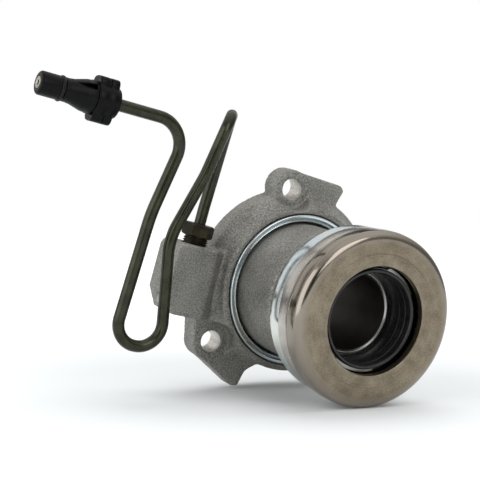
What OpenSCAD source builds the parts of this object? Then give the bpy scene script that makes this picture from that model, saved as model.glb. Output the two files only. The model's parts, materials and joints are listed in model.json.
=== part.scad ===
// Concentric slave cylinder: a hydraulic clutch release unit whose piston and release
// bearing slide on a guide tube that surrounds the gearbox shaft.
// Each piece is drawn with the shaft axis along +Z, the bearing in front and the
// mounting face at Z = 0. The last step turns the axis so that the bearing faces -Y.

/* [Guide tube] */
// Inner radius of the tube that the shaft runs through
bore_r = 15.5; // [14.5:0.1:16]
// Wall thickness of the guide tube
guide_wall = 1.5; // [1.3:0.1:1.8]
// Height of the tube's front end over the mounting face
guide_front = 61; // [60:0.5:62]
// Width of the flange at the tube's rear end
guide_flange_w = 4; // [3:0.5:5]
// Thickness of the tube's rear flange
guide_flange_t = 1.5; // [1:0.25:2]
// Length of the bevel inside the tube's front end
guide_bevel = 0.6; // [0.4:0.1:0.8]
// Distance from the tube's front end back to the stop ring's rear face
stop_back = 3; // [2.5:0.25:3.5]
// Thickness of the stop ring
stop_t = 1.5; // [1.2:0.1:1.8]
// How deep the stop ring sits in the tube
stop_deep = 0.5; // [0.4:0.1:0.7]
// How far the stop ring stands out of the tube
stop_out = 0.7; // [0.5:0.1:0.8]

/* [Cylinder] */
// Width of the ring-shaped pressure chamber around the guide tube
chamber_w = 6; // [5.8:0.1:6.4]
// Thickness of the cylinder's wall at its front end
cylinder_wall = 4.9; // [4.5:0.1:5.3]
// How much wider the cylinder is at its foot than at its front end
cylinder_draft = 0.3; // [0.2:0.1:0.6]
// Height of the pressure chamber's floor
chamber_floor = 4; // [3:0.25:5]
// Travel of the piston from the front stop to the rear end
travel = 15.5; // [14:0.5:16]
// Height left for the squeezed spring when the piston is fully back
spring_solid = 7; // [6.5:0.5:8]
// Width of the cast edge bevel at the cylinder's front end
cylinder_bevel = 1; // [0.5:0.1:1.4]

/* [Housing] */
// Length of the round spigot behind the mounting face
spigot_h = 8; // [7:0.5:9]
// How far the spigot that locates the unit stands out past the collar's wall
spigot_step = 0.5; // [0.3:0.1:0.8]
// Thickness of the mounting flange
flange_t = 10; // [9:0.5:11]
// Width of the flange outside the collar's wall
flange_w = 5; // [4.5:0.25:5.5]
// Height of the collar's front face over the mounting face
collar_h = 18; // [17:0.25:19]
// Thickness of the collar's round wall
collar_wall = 2.9; // [2.5:0.1:3.1]
// Height of the edge bevel on the collar
collar_bevel = 1; // [0.6:0.1:1.4]
// Width of the pocket between the collar and the cylinder
pocket_w = 4.4; // [4.1:0.1:4.7]
// Depth of that pocket
pocket_h = 5.5; // [5:0.25:6]

/* [Lugs] */
// Diameter of the circle through the bolt holes
bolt_circle_d = 84; // [82:0.5:86]
// Radius of each bolt hole
bolt_hole_r = 4.4; // [4:0.1:4.6]
// Radius of the rounded end of each lug
lug_r = 8.2; // [7.8:0.1:8.8]
// Distance from the axis to the outer corner of each lug's web
web_r = 49; // [48.5:0.1:49.5]
// Size of the bevel at the web's outer corner
web_corner = 1.2; // [0.8:0.1:2]

/* [Port block] */
// Distance from the axis to the block's left face
block_left = 59.5; // [58.5:0.25:61]
// Height of the block's top face over the axis
block_top = 8.5; // [8:0.25:9]
// Depth of the block's lower face under the axis
block_bottom = 21; // [20.5:0.25:22]
// Radius of the block's top left edge
block_round = 3.5; // [2.5:0.25:4.5]
// Width of the slope at the block's lower left edge
block_slope_w = 4.5; // [3.5:0.25:5.5]
// Height of the slope at the block's lower left edge
block_slope_h = 8; // [7:0.25:9]
// Distance from the axis to the right edge of the block's front face
block_face_x = 41.2; // [40.5:0.1:42]
// Distance from the axis to the wall between the block and the lug under it
block_web_x = 40.8; // [40:0.1:42]
// Distance from the axis to the pipe port
port_x = 48.7; // [48.2:0.1:49.2]
// Height of the port's axis over the mounting face
port_z = 9; // [8.5:0.1:9.5]
// Radius of the port's thread
port_r = 5.3; // [5:0.1:5.8]
// Depth of the port
port_deep = 15; // [14:0.5:16]
// Radius of the drilled fluid passages
passage_r = 1.6; // [1.2:0.1:1.8]
// Depth of the cross passage under the axis
passage_down = 16.5; // [15.5:0.1:16.9]
// Radius of the ball that closes the cross passage
ball_plug_r = 2.4; // [2:0.1:2.8]

/* [Union nut] */
// Width of the nut across its flats
nut_flats = 11.5; // [11:0.25:12.5]
// Height of the nut's hexagon
nut_hex_h = 5.4; // [5:0.1:6]
// Length of thread that shows under the hexagon
nut_thread_show = 3; // [2.5:0.25:3.5]
// Distance between two thread turns
thread_pitch = 1; // [0.75:0.05:1.25]
// Depth of the thread
thread_depth = 0.6; // [0.4:0.1:0.7]

/* [Pipe] */
// Outer diameter of the hydraulic pipe
pipe_d = 4.8; // [4.5:0.05:5]
// Wall thickness of the hydraulic pipe
pipe_wall = 0.9; // [0.7:0.1:1.1]
// Radius of the pipe's flared end
flare_r = 3.6; // [3.2:0.1:4]
// Length of the pipe's flared end
flare_h = 2; // [1.5:0.1:2.5]

/* [Connector] */
// Radius of the connector's nose
nose_r = 4.55; // [4.4:0.05:4.7]
// Length of the nose in front of the seal
nose_len = 8; // [7.5:0.25:9]
// Radius of the rounding at the tip of the nose
nose_round = 2; // [1.6:0.1:2.2]
// Largest radius of the connector's barrel
barrel_r = 6.3; // [6:0.05:6.5]
// Length of the barrel's widest stretch
barrel_len = 5; // [4:0.25:6]
// Length of the barrel's cone in front of that
barrel_taper = 3; // [2.5:0.25:3.5]
// Length of the neck between the cone and the seal
connector_neck = 2.55; // [2:0.05:3]
// Radius of the connector's tail between barrel and collar
tail_r = 5.8; // [5.5:0.05:6]
// Length of the tail
tail_len = 10.4; // [10:0.1:11.5]
// Outer radius of the metal insert in the nose
insert_r = 2.3; // [2.1:0.05:2.5]
// Radius of the hole in the metal insert
insert_bore_r = 1.1; // [0.9:0.05:1.4]
// How deep the pipe sits in the connector
pipe_seat = 11; // [10.5:0.25:12]
// Radius of the seal ring's section
nose_seal_sec = 0.85; // [0.7:0.05:0.95]
// Radius of the collar's two grip lobes
lobe_r = 8.75; // [8.25:0.05:9.25]
// Length of the collar
grip_len = 8; // [7:0.1:8.2]
// Width of each grip lobe
lobe_w = 8.5; // [7.5:0.1:9.5]
// Wall thickness of the collar between its lobes
grip_wall = 0.9; // [0.7:0.05:1.2]

/* [Piston and seals] */
// Radial clearance of every sliding fit
slide_gap = 0.1; // [0.05:0.01:0.15]
// Clearance between pieces that sit in each other
seat_gap = 0.05; // [0.02:0.01:0.08]
// Thickness of the ring between the spring and the seal
spring_seat_t = 2; // [1.5:0.1:2.5]
// Length of the rubber lip seal
lip_seal_len = 5.5; // [5:0.1:6]
// Thickness of the lip seal's lips
lip_t = 1.3; // [1:0.1:1.6]
// Thickness of the spring's wire
spring_wire = 2; // [1.6:0.1:2.2]
// Number of turns of the spring
spring_turns = 3; // [2.5:0.5:3]
// Wall of the piston's front neck
neck_wall = 1.8; // [1.7:0.05:1.9]
// Inner radius of the lip at the piston's front end
lip_r = 18.65; // [18.5:0.05:18.8]
// Thickness of the rubber wiper at the cylinder's mouth
wiper_t = 2; // [1.5:0.1:2.2]
// Depth of the wiper's groove in the cylinder wall
wiper_deep = 2.2; // [1.8:0.1:2.4]

/* [Release bearing] */
// Height of the bearing carrier's rear face over the mounting face
carrier_z = 60.5; // [60:0.1:61]
// Sheet thickness of the bearing carrier
carrier_t = 1.2; // [1:0.05:1.3]
// Length of the carrier's rim behind its plate
rim_back = 5; // [4.5:0.1:5.5]
// Length of the carrier's rim in front of its plate
rim_front = 1.5; // [1.3:0.1:1.6]
// Radial step between the cover band and the carrier's rim
rim_step = 0.2; // [0.1:0.05:0.3]
// Radial step between the front ring and the cover band
band_step = 0.6; // [0.4:0.05:0.7]
// Diameter of the bearing balls
ball_d = 7.94; // [7.5:0.01:8]
// Number of bearing balls
ball_count = 18; // [14:1:18]
// Radial play in which the bearing centres itself
centring_play = 0.6; // [0.5:0.05:0.7]
// Thickness of the wave washer that presses the bearing forward
centring_spring_t = 0.5; // [0.4:0.05:0.6]
// Wall of the inner race's front sleeve
sleeve_wall = 0.9; // [0.8:0.05:1]
// Depth of the inner race under the balls
inner_race_deep = 4.03; // [3.9:0.01:4.1]
// Thickness of the outer race over the balls
outer_race_deep = 2.53; // [2.4:0.01:2.7]
// Height of the ball centres over the carrier's rear face
ball_up = 7.5; // [7.4:0.05:7.6]
// Height of the bearing's front face over the carrier's rear face
face_up = 17.7; // [17.5:0.1:18]
// Thickness of the bearing's front plate
face_t = 3.2; // [3:0.1:3.4]
// Radius of the hole in the bearing's front face
face_bore_r = 21.5; // [21.4:0.05:21.8]
// Radius of the rounding at the bearing's front edge
face_round = 4.5; // [4:0.1:4.8]
// Length of the outer race's front ring
front_ring_len = 9.2; // [8.8:0.1:9.4]
// Thickness of the clip that holds the bearing on the piston
clip_t = 0.7; // [0.6:0.05:0.8]

/* [Hidden] */

// Overrun of every cut past the face that it opens
cut = 1;
// Smoothness of round shapes
fn_round = 96;
fn_small = 48;

// Guide tube
guide_r = bore_r + guide_wall;
stop_z = guide_front - stop_back;
stop_in_r = guide_r - stop_deep;
stop_r = guide_r + stop_out;

// Radii of the housing, from the cylinder's bore outward
cylinder_r = guide_r + chamber_w;
cylinder_tip_r = cylinder_r + cylinder_wall;
cylinder_foot_r = cylinder_tip_r + cylinder_draft;
pocket_r = cylinder_foot_r + pocket_w;
collar_r = pocket_r + collar_wall;
spigot_r = collar_r + spigot_step;
flange_r = collar_r + flange_w;

// Piston positions, from the rear end of the travel forward
seal_rear = chamber_floor + spring_solid + travel;
lip_seal_z = seal_rear + spring_seat_t;
piston_rear = lip_seal_z + lip_seal_len;
piston_in_r = guide_r + slide_gap;
piston_r = cylinder_r - slide_gap;
mouth_gap = 1;
mouth_z = carrier_z - travel - mouth_gap;
step_gap = 0.1;
neck_step_r = 0.2;
neck_in_r = stop_r + slide_gap + step_gap;
neck_r = neck_in_r + neck_step_r + neck_wall;
neck_front_back = 3.2;
neck_front = carrier_z + face_up - neck_front_back;

// Seal rings on the guide tube and on the spigot
guide_seal_sec = 1.2;
guide_seal_r = guide_r + guide_seal_sec + seat_gap;
guide_seal_z = guide_seal_sec - spigot_h / 2;
spigot_seal_sec = 1.3;
spigot_seal_out = 0.15;
spigot_groove_deep = 2 * spigot_seal_sec - spigot_seal_out + seat_gap;
spigot_groove_w = 3;
spigot_groove_z = spigot_groove_w - spigot_h;

// Wiper
wiper_back = 1.6;
wiper_z = mouth_z - wiper_back - wiper_t;

// Collar ring of rolled sheet
ring_play = 0.4;
ring_w = 2.4;
ring_roll_r = ring_w / 2;
ring_r = pocket_r - ring_play;
ring_mid_r = ring_r - ring_roll_r;
ring_skirt_t = 1;
ring_out = 0.5;
ring_z = collar_h + ring_out - ring_roll_r;
pocket_floor = collar_h - pocket_h;

// Collar wall's middle, and the top of the cone that leads up to it
collar_mid_r = (pocket_r + collar_r) / 2;
cone_in = 0.4;
cone_down = 0.8;
cone_top = collar_h - collar_bevel - cone_down;
web_in_r = cylinder_foot_r;

// Lugs: angle of each hole, where its web ends, and how the web's outer edge leans
lug_angles = [105, 225, 345];
web_end_angles = [72, 256, 309];
web_corner_angle = 3;
web_lean_angle = 19.5;
web_set_back = 0.4;
gap_start_angle = 257;
gap_end_angle = 308;
bolt_r = bolt_circle_d / 2;
bolt_seat_over = 0.3;
bolt_seat_r = lug_r + bolt_seat_over;
bolt_seat_deep = 0.3;

// Port block and passages
block_right = cylinder_foot_r;
block_web_angle = 197;
block_web_lap = 1.6;
chamber_side_x = sqrt(cylinder_r * cylinder_r - passage_down * passage_down);
passage_step = 0.2;
cross_passage_r = passage_r + passage_step;
ball_plug_in = 0.8;
port_mouth = 0.8;

// Union nut and the pipe's start
pipe_r = pipe_d / 2;
pipe_in_r = pipe_r - pipe_wall;
flare_z = -port_deep;
nut_tail = flare_z + flare_h;
nut_bore_r = pipe_r + slide_gap;
nut_r = port_r - seat_gap;
nut_hex_z = nut_thread_show;
nut_hex_r = nut_flats / sqrt(3);
nut_turn = 43;
thread_turns = floor((nut_thread_show - nut_tail) / thread_pitch);
nut_relief_h = 1;

// Connector
connector_x = 105.2;
connector_y = 54.2;
connector_z = 28;
connector_start = 0.8;
barrel_lip_w = 1.7;
barrel_lip_out = 0.15;
barrel_start = tail_len + barrel_lip_w;
barrel_end = barrel_start + barrel_len;
seal_groove_w = 2 * nose_seal_sec + seat_gap;
nose_seal_z = barrel_end + barrel_taper + connector_neck + seal_groove_w / 2;
nose_seal_r = nose_r - nose_seal_sec / 2;
nose_groove_r = nose_seal_r - nose_seal_sec - seat_gap;
connector_len = nose_seal_z + seal_groove_w / 2 + nose_len;
slot_w = 2;
slot_deep = 1.6;
slot_start = tail_len + barrel_lip_w / 2;
slot_len = 7.5;
slot_turn = 40;
half_turn = 180;
grip_start = 2.2;
grip_bore_r = tail_r + seat_gap;
grip_groove_w = 1;
grip_groove_deep = 0.6;
insert_lip = 0.15;

// Pipe: the corner points of its route and the bend radius at each corner.
// Each point is written as x, y and z, with the shaft axis along +Z.
pipe_points = [
    [-port_x, block_top - port_deep, port_z],
    [-port_x, 24, port_z],
    [-47.5, 63, port_z],
    [-55.5, 62.7, 25],
    [-60.6, 37, 26],
    [-69.7, 9.5, 28],
    [-60.8, -34.6, 28],
    [-82, -34.6, 28],
    [-80.1, 17, 28],
    [-73.4, connector_y, connector_z],
    [-connector_x - pipe_seat, connector_y, connector_z]
];
bend_radii = [0, 30, 8.5, 8.5, 40, 25, 9.2, 9.2, 60, 11.2, 0];
bend_swell = 0.03;
bend_lap = 0.5;

// Release bearing, from the inside outward
ball_r = ball_d / 2;
carrier_front = carrier_z + carrier_t;
race_in_r = neck_r + centring_play;
sleeve_r = race_in_r + sleeve_wall;
ball_z = carrier_z + ball_up;
pitch_r = race_in_r + inner_race_deep + ball_r;
bearing_r = pitch_r + ball_r + outer_race_deep;
groove_r = ball_r + seat_gap;
face_z = carrier_z + face_up;
centring_rear = carrier_front + seat_gap;
race_rear = centring_rear + centring_spring_t + seat_gap;
race_shoulder = 0.9;
inner_shoulder_r = pitch_r - race_shoulder;
outer_shoulder_r = pitch_r + race_shoulder;
cover_r = bearing_r - band_step;
cover_t = 1.1;
cover_front = face_z - front_ring_len;
cover_gap = 0.4;
cover_rear = carrier_z + rim_front + cover_gap;
cover_lip_w = 2.2;
rim_draft = 0.5;
rim_roll_r = 0.9;
rim_r = cover_r - rim_step;
rim_rear_r = rim_r - rim_draft;
ring_wall_in_r = cover_r - cover_t - seat_gap;
cover_lip_r = cover_r - cover_t - cover_lip_w;
seal_t = 0.8;
seal_z = cover_rear + (cover_t - seal_t) / 2;
seal_in_r = inner_shoulder_r + 2 * slide_gap;
race_skirt = 2.5;
clip_back = 2.4;
clip_z = neck_front - clip_back;
clip_deep = 0.6;
clip_r = sleeve_r - seat_gap;
clip_gap_angle = 40;
clip_turn = 150;
sleeve_front = clip_z - seat_gap;
cage_half_w = 0.8;
cage_back = 2.2;
cage_bridge = 1.3;
cage_front = ball_z + ball_r + cage_bridge;
cage_in_r = pitch_r - cage_half_w;
cage_out_r = pitch_r + cage_half_w;
pocket_play = 0.12;
face_line_deep = 0.15;
face_line_w = 0.5;
face_line_r = (face_bore_r + bearing_r) / 2;

// Colours
cast_grey = [0.5, 0.49, 0.47];
zinc = [0.78, 0.8, 0.82];
steel = [0.62, 0.61, 0.58];
warm_steel = [0.55, 0.5, 0.44];
black = [0.07, 0.07, 0.07];
rubber = [0.1, 0.1, 0.1];
olive = [0.2, 0.2, 0.15];
bronze = [0.2, 0.18, 0.13];

// Turns the shaft axis from +Z to -Y
module placed() {
    rotate([90, 0, 0])
        children();
}

// Plain ring between two radii and two heights
module ring(r_in, r_out, z_low, z_high) {
    translate([0, 0, z_low])
        difference() {
            cylinder(r = r_out, h = z_high - z_low, $fn = fn_round);
            translate([0, 0, -cut])
                cylinder(r = r_in, h = z_high - z_low + 2 * cut, $fn = fn_round);
        }
}

// Ring of round section
module o_ring(mid_r, sec_r, z) {
    translate([0, 0, z])
        rotate_extrude($fn = fn_round)
            translate([mid_r, 0])
                circle(r = sec_r, $fn = fn_small);
}

// Turned shape from an outline of radius and height points
module turned(points) {
    rotate_extrude($fn = fn_round)
        polygon(points);
}

// Part of a ring between two angles
module sector(r_in, r_out, from_angle, to_angle, z_low, z_high) {
    translate([0, 0, z_low])
        rotate([0, 0, from_angle])
            rotate_extrude(angle = to_angle - from_angle, $fn = fn_round)
                translate([r_in, 0])
                    square([r_out - r_in, z_high - z_low]);
}

// Housing: one casting with base, cylinder, collar, three lugs and the port block
module housing_core() {
    turned([
        [guide_r + seat_gap, -spigot_h],
        [spigot_r, -spigot_h],
        [spigot_r, 0],
        [collar_r, 0],
        [collar_r, collar_h - collar_bevel],
        [collar_r - collar_bevel, collar_h],
        [pocket_r, collar_h],
        [pocket_r, pocket_floor],
        [cylinder_foot_r, pocket_floor],
        [cylinder_tip_r, mouth_z - cylinder_bevel],
        [cylinder_tip_r - cylinder_bevel, mouth_z],
        [cylinder_r, mouth_z],
        [cylinder_r, chamber_floor],
        [guide_r + seat_gap, chamber_floor]
    ]);
}

module flange_disc() {
    turned([
        [web_in_r, 0],
        [flange_r, 0],
        [flange_r, flange_t - cone_down],
        [collar_r - cone_in, cone_top],
        [web_in_r, cone_top]
    ]);
}

function polar(r, angle) = [r * cos(angle), r * sin(angle)];

// Outline of the web beside a bolt hole, with a straight outer edge and a bevelled corner
module web_outline(hole_angle, free_angle) {
    side = free_angle > hole_angle ? 1 : -1;
    polygon([
        [0, 0],
        polar(web_r - web_corner, free_angle),
        polar(web_r, free_angle - side * web_corner_angle),
        polar(bolt_r, hole_angle) + polar(lug_r - web_set_back, hole_angle + side * web_lean_angle),
        polar(bolt_r, hole_angle)
    ]);
}

// Outline of the web that fills the corner between the port block and the lug under it
module block_web_outline() {
    hole = polar(bolt_r, lug_angles[1]);
    polygon([
        [-block_right, block_web_lap - block_bottom],
        [-block_web_x, block_web_lap - block_bottom],
        hole + polar(lug_r - web_set_back / 2, block_web_angle),
        hole
    ]);
}

module lugs() {
    linear_extrude(height = flange_t) {
        block_web_outline();
        for (i = [0:len(lug_angles) - 1]) {
            web_outline(lug_angles[i], web_end_angles[i]);
            rotate([0, 0, lug_angles[i]])
                translate([bolt_r, 0])
                    circle(r = lug_r, $fn = fn_round);
        }
    }
}

module block_outline() {
    polygon([
        [-block_right, block_top],
        [-block_left + block_round, block_top],
        [-block_left, block_top - block_round],
        [-block_left, -block_bottom + block_slope_h],
        [-block_left + block_slope_w, -block_bottom],
        [-block_right, -block_bottom]
    ]);
    translate([-block_left + block_round, block_top - block_round])
        circle(r = block_round, $fn = fn_small);
}

// Port block: its front face falls off at 45 degrees toward the collar
module port_block() {
    intersection() {
        linear_extrude(height = collar_h)
            block_outline();
        translate([0, block_top + cut, 0])
            rotate([90, 0, 0])
                linear_extrude(height = block_top + block_bottom + 2 * cut)
                    polygon([
                        [-block_left - cut, -cut],
                        [-block_left - cut, collar_h + cut],
                        [-block_face_x - cut, collar_h + cut],
                        [-block_right + cut, collar_h - block_face_x + block_right - cut],
                        [-block_right + cut, -cut]
                    ]);
    }
}

module port_cuts() {
    translate([-port_x, block_top + cut, port_z])
        rotate([90, 0, 0]) {
            cylinder(r = port_r, h = port_deep + cut, $fn = fn_small);
            cylinder(r = passage_r, h = block_top + passage_down, $fn = fn_small);
        }
    translate([-port_x, block_top, port_z])
        rotate([90, 0, 0])
            translate([0, 0, -cut])
                cylinder(r1 = port_r + port_mouth + cut, r2 = port_r, h = port_mouth + cut, $fn = fn_small);
    translate([-block_left - cut, -passage_down, port_z])
        rotate([0, 90, 0]) {
            cylinder(r = cross_passage_r, h = block_left + cut - chamber_side_x + cut, $fn = fn_small);
            cylinder(r = ball_plug_r + seat_gap, h = cut + ball_plug_in + 2 * ball_plug_r, $fn = fn_small);
        }
}

module bolt_cuts() {
    for (angle = lug_angles)
        rotate([0, 0, angle])
            translate([bolt_r, 0, 0]) {
                translate([0, 0, -cut])
                    cylinder(r = bolt_hole_r, h = flange_t + 2 * cut, $fn = fn_small);
                translate([0, 0, flange_t - bolt_seat_deep])
                    cylinder(r = bolt_seat_r, h = collar_h, $fn = fn_small);
            }
}

module seal_groove_cuts() {
    ring(spigot_r - spigot_groove_deep, spigot_r + cut,
        spigot_groove_z - spigot_groove_w / 2, spigot_groove_z + spigot_groove_w / 2);
    translate([0, 0, -spigot_h - cut])
        cylinder(r = guide_r + guide_flange_w + seat_gap, h = guide_flange_t + cut, $fn = fn_round);
    translate([0, 0, guide_seal_z - guide_seal_sec - seat_gap])
        cylinder(r = guide_seal_r + guide_seal_sec + seat_gap,
            h = 2 * (guide_seal_sec + seat_gap), $fn = fn_round);
}

module wiper_cut() {
    translate([0, 0, wiper_z - seat_gap])
        cylinder(r = cylinder_r + wiper_deep, h = wiper_t + 2 * seat_gap, $fn = fn_round);
}

module housing() {
    color(cast_grey)
        placed()
            difference() {
                union() {
                    housing_core();
                    difference() {
                        union() {
                            flange_disc();
                            lugs();
                            port_block();
                        }
                        translate([0, 0, -cut])
                            cylinder(r = collar_mid_r, h = collar_h + 2 * cut, $fn = fn_round);
                        sector(pocket_r, web_r + lug_r, gap_start_angle, gap_end_angle, -cut, collar_h + cut);
                    }
                }
                port_cuts();
                bolt_cuts();
                seal_groove_cuts();
                wiper_cut();
            }
}

// Guide tube: steel, with a flange at its rear end and a groove for the stop ring
module guide_tube() {
    color(zinc)
        placed()
            turned([
                [bore_r, -spigot_h],
                [guide_r + guide_flange_w, -spigot_h],
                [guide_r + guide_flange_w, -spigot_h + guide_flange_t],
                [guide_r, -spigot_h + guide_flange_t],
                [guide_r, stop_z],
                [stop_in_r, stop_z],
                [stop_in_r, stop_z + stop_t],
                [guide_r, stop_z + stop_t],
                [guide_r, guide_front],
                [bore_r + guide_bevel, guide_front],
                [bore_r, guide_front - guide_bevel]
            ]);
}

module guide_tube_seal() {
    color(rubber)
        placed()
            o_ring(guide_seal_r, guide_seal_sec, guide_seal_z);
}

module spigot_seal() {
    color(rubber)
        placed()
            o_ring(spigot_r + spigot_seal_out - spigot_seal_sec, spigot_seal_sec, spigot_groove_z);
}

module stop_ring() {
    color(steel)
        placed()
            ring(stop_in_r + seat_gap, stop_r, stop_z + seat_gap, stop_z + stop_t - seat_gap);
}

// Wiper: rubber ring in the cylinder's mouth, bevelled toward the piston
module wiper_ring() {
    color(rubber)
        placed()
            turned([
                [piston_r + seat_gap, wiper_z + wiper_t / 2],
                [cylinder_r, wiper_z],
                [cylinder_r + wiper_deep - seat_gap, wiper_z],
                [cylinder_r + wiper_deep - seat_gap, wiper_z + wiper_t],
                [piston_r + seat_gap, wiper_z + wiper_t]
            ]);
}

// Ring in the collar's pocket: a rolled edge on a short skirt
module collar_ring() {
    color(zinc)
        placed()
            union() {
                o_ring(ring_mid_r, ring_roll_r, ring_z);
                ring(ring_r - ring_skirt_t, ring_r, pocket_floor, ring_z);
            }
}

// Spring in the pressure chamber: a wire swept along a helix
module preload_spring() {
    sides = 8;
    steps = 28;
    rings = ceil(spring_turns * steps);
    mid_r = (guide_r + cylinder_r) / 2;
    wire_r = spring_wire / 2;
    rise = seal_rear - chamber_floor - spring_wire - 2 * seat_gap;
    low = chamber_floor + wire_r + seat_gap;
    points = [
        for (i = [0:rings], j = [0:sides - 1])
            let (turn = 360 * spring_turns * i / rings,
                side = 360 * j / sides,
                r = mid_r + wire_r * cos(side))
            [r * cos(turn), r * sin(turn), low + rise * i / rings + wire_r * sin(side)]
    ];
    walls = [
        for (i = [0:rings - 1], j = [0:sides - 1])
            let (next = (j + 1) % sides)
            [i * sides + j, (i + 1) * sides + j, (i + 1) * sides + next, i * sides + next]
    ];
    ends = [
        [for (j = [0:sides - 1]) j],
        [for (j = [0:sides - 1]) (rings + 1) * sides - 1 - j]
    ];
    color(steel)
        placed()
            polyhedron(points = points, faces = concat(walls, ends), convexity = 10);
}

// Places a shape whose axis is +Z in the port, with its zero at the block's top face
module at_port() {
    translate([-port_x, block_top, port_z])
        rotate([-90, 0, 0])
            children();
}

// Union nut: hexagon, threaded shank and a bore for the pipe
module union_nut() {
    color(bronze)
        placed()
            at_port()
                difference() {
                    union() {
                        translate([0, 0, nut_hex_z])
                            rotate([0, 0, nut_turn])
                                cylinder(r = nut_hex_r, h = nut_hex_h, $fn = 6);
                        turned(concat(
                            [[0, nut_tail]],
                            [
                                for (i = [0:thread_turns - 1])
                                    each [
                                        [nut_r - thread_depth, nut_tail + i * thread_pitch],
                                        [nut_r, nut_tail + (i + 1 / 2) * thread_pitch]
                                    ]
                            ],
                            [
                                [nut_r - thread_depth, nut_tail + thread_turns * thread_pitch],
                                [nut_r - thread_depth, nut_hex_z + nut_relief_h],
                                [0, nut_hex_z + nut_relief_h]
                            ]
                        ));
                    }
                    translate([0, 0, nut_tail - cut])
                        cylinder(r = nut_bore_r, h = nut_hex_z + nut_hex_h - nut_tail + 2 * cut,
                            $fn = fn_small);
                }
}

// Directions and lengths along the pipe's corner points
function unit(v) = v / norm(v);
function leg(i) = unit(pipe_points[i + 1] - pipe_points[i]);
function bend_angle(i) = acos(min(1, leg(i - 1) * leg(i)));
function bend_cut(i) = bend_radii[i] == 0 ? 0 : bend_radii[i] * tan(bend_angle(i) / 2);
function bend_start(i) = pipe_points[i] - leg(i - 1) * bend_cut(i);
function bend_inward(i) = unit(leg(i) - leg(i - 1) * (leg(i - 1) * leg(i)));
function columns(u, v, w, p) = [
    [u[0], v[0], w[0], p[0]],
    [u[1], v[1], w[1], p[1]],
    [u[2], v[2], w[2], p[2]],
    [0, 0, 0, 1]
];
function beside(v) = unit(cross(v, abs(v[2]) > abs(v[0]) ? [1, 0, 0] : [0, 0, 1]));

// Straight stretch of the pipe after corner i
module pipe_leg(i, r) {
    lap_start = bend_radii[i] == 0 ? 0 : bend_lap;
    lap_end = bend_radii[i + 1] == 0 ? 0 : bend_lap;
    start = pipe_points[i] + leg(i) * (bend_cut(i) - lap_start);
    length = norm(pipe_points[i + 1] - pipe_points[i]) - bend_cut(i) - bend_cut(i + 1) + lap_start + lap_end;
    side = beside(leg(i));
    multmatrix(columns(side, cross(leg(i), side), leg(i), start))
        cylinder(r = r, h = length, $fn = fn_small);
}

// Bend of the pipe at corner i
module pipe_bend(i, r) {
    inward = bend_inward(i);
    centre = bend_start(i) + inward * bend_radii[i];
    multmatrix(columns(-inward, leg(i - 1), cross(-inward, leg(i - 1)), centre))
        rotate_extrude(angle = bend_angle(i), $fn = fn_round)
            translate([bend_radii[i], 0])
                circle(r = r + bend_swell, $fn = fn_small);
}

module pipe_run(r) {
    for (i = [0:len(pipe_points) - 2])
        pipe_leg(i, r);
    for (i = [1:len(pipe_points) - 2])
        pipe_bend(i, r);
}

// Hydraulic pipe: a bent tube with a flared end in the port
module hydraulic_pipe() {
    color(olive)
        placed()
            difference() {
                union() {
                    pipe_run(pipe_r);
                    at_port()
                        translate([0, 0, flare_z])
                            cylinder(r1 = flare_r, r2 = pipe_r, h = flare_h, $fn = fn_small);
                }
                pipe_run(pipe_in_r);
            }
}

module gallery_ball() {
    color(steel)
        placed()
            translate([-block_left + ball_plug_in + ball_plug_r, -passage_down, port_z])
                sphere(r = ball_plug_r, $fn = fn_small);
}

// Places a shape whose axis is +Z on the connector's axis, with its zero at the pipe end
module at_connector() {
    translate([-connector_x, connector_y, connector_z])
        rotate([0, -90, 0])
            children();
}

// Outline of the connector body, as radius and distance from its pipe end
module connector_outline() {
    polygon([
        [0, connector_start],
        [tail_r, connector_start],
        [tail_r, tail_len],
        [barrel_r + barrel_lip_out, tail_len],
        [barrel_r + barrel_lip_out, barrel_start],
        [barrel_r, barrel_start],
        [barrel_r, barrel_end],
        [nose_r, barrel_end + barrel_taper],
        [nose_r, nose_seal_z - seal_groove_w / 2],
        [nose_groove_r, nose_seal_z - seal_groove_w / 2],
        [nose_groove_r, nose_seal_z + seal_groove_w / 2],
        [nose_r, nose_seal_z + seal_groove_w / 2],
        [nose_r, connector_len - nose_round],
        [nose_r - nose_round, connector_len - nose_round],
        [nose_r - nose_round, connector_len],
        [0, connector_len]
    ]);
    translate([nose_r - nose_round, connector_len - nose_round])
        intersection() {
            circle(r = nose_round, $fn = fn_small);
            square([nose_round, nose_round]);
        }
}

// Connector body: tail, lipped barrel with two slots, seal groove and rounded nose
module connector_body() {
    color(black)
        placed()
            at_connector()
                difference() {
                    rotate_extrude($fn = fn_round)
                        connector_outline();
                    cylinder(r = pipe_r + seat_gap, h = pipe_seat, $fn = fn_small);
                    translate([0, 0, pipe_seat - cut])
                        cylinder(r = insert_r + seat_gap, h = connector_len, $fn = fn_small);
                    for (turn = [slot_turn, slot_turn + half_turn])
                        rotate([0, 0, turn])
                            translate([barrel_r - slot_deep, -slot_w / 2, slot_start])
                                cube([slot_deep + cut, slot_w, slot_len]);
                }
}

module connector_insert() {
    color(zinc)
        placed()
            at_connector()
                ring(insert_bore_r, insert_r, pipe_seat, connector_len + insert_lip);
}

module connector_seal() {
    color(rubber)
        placed()
            at_connector()
                o_ring(nose_seal_r, nose_seal_sec, nose_seal_z);
}

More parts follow.
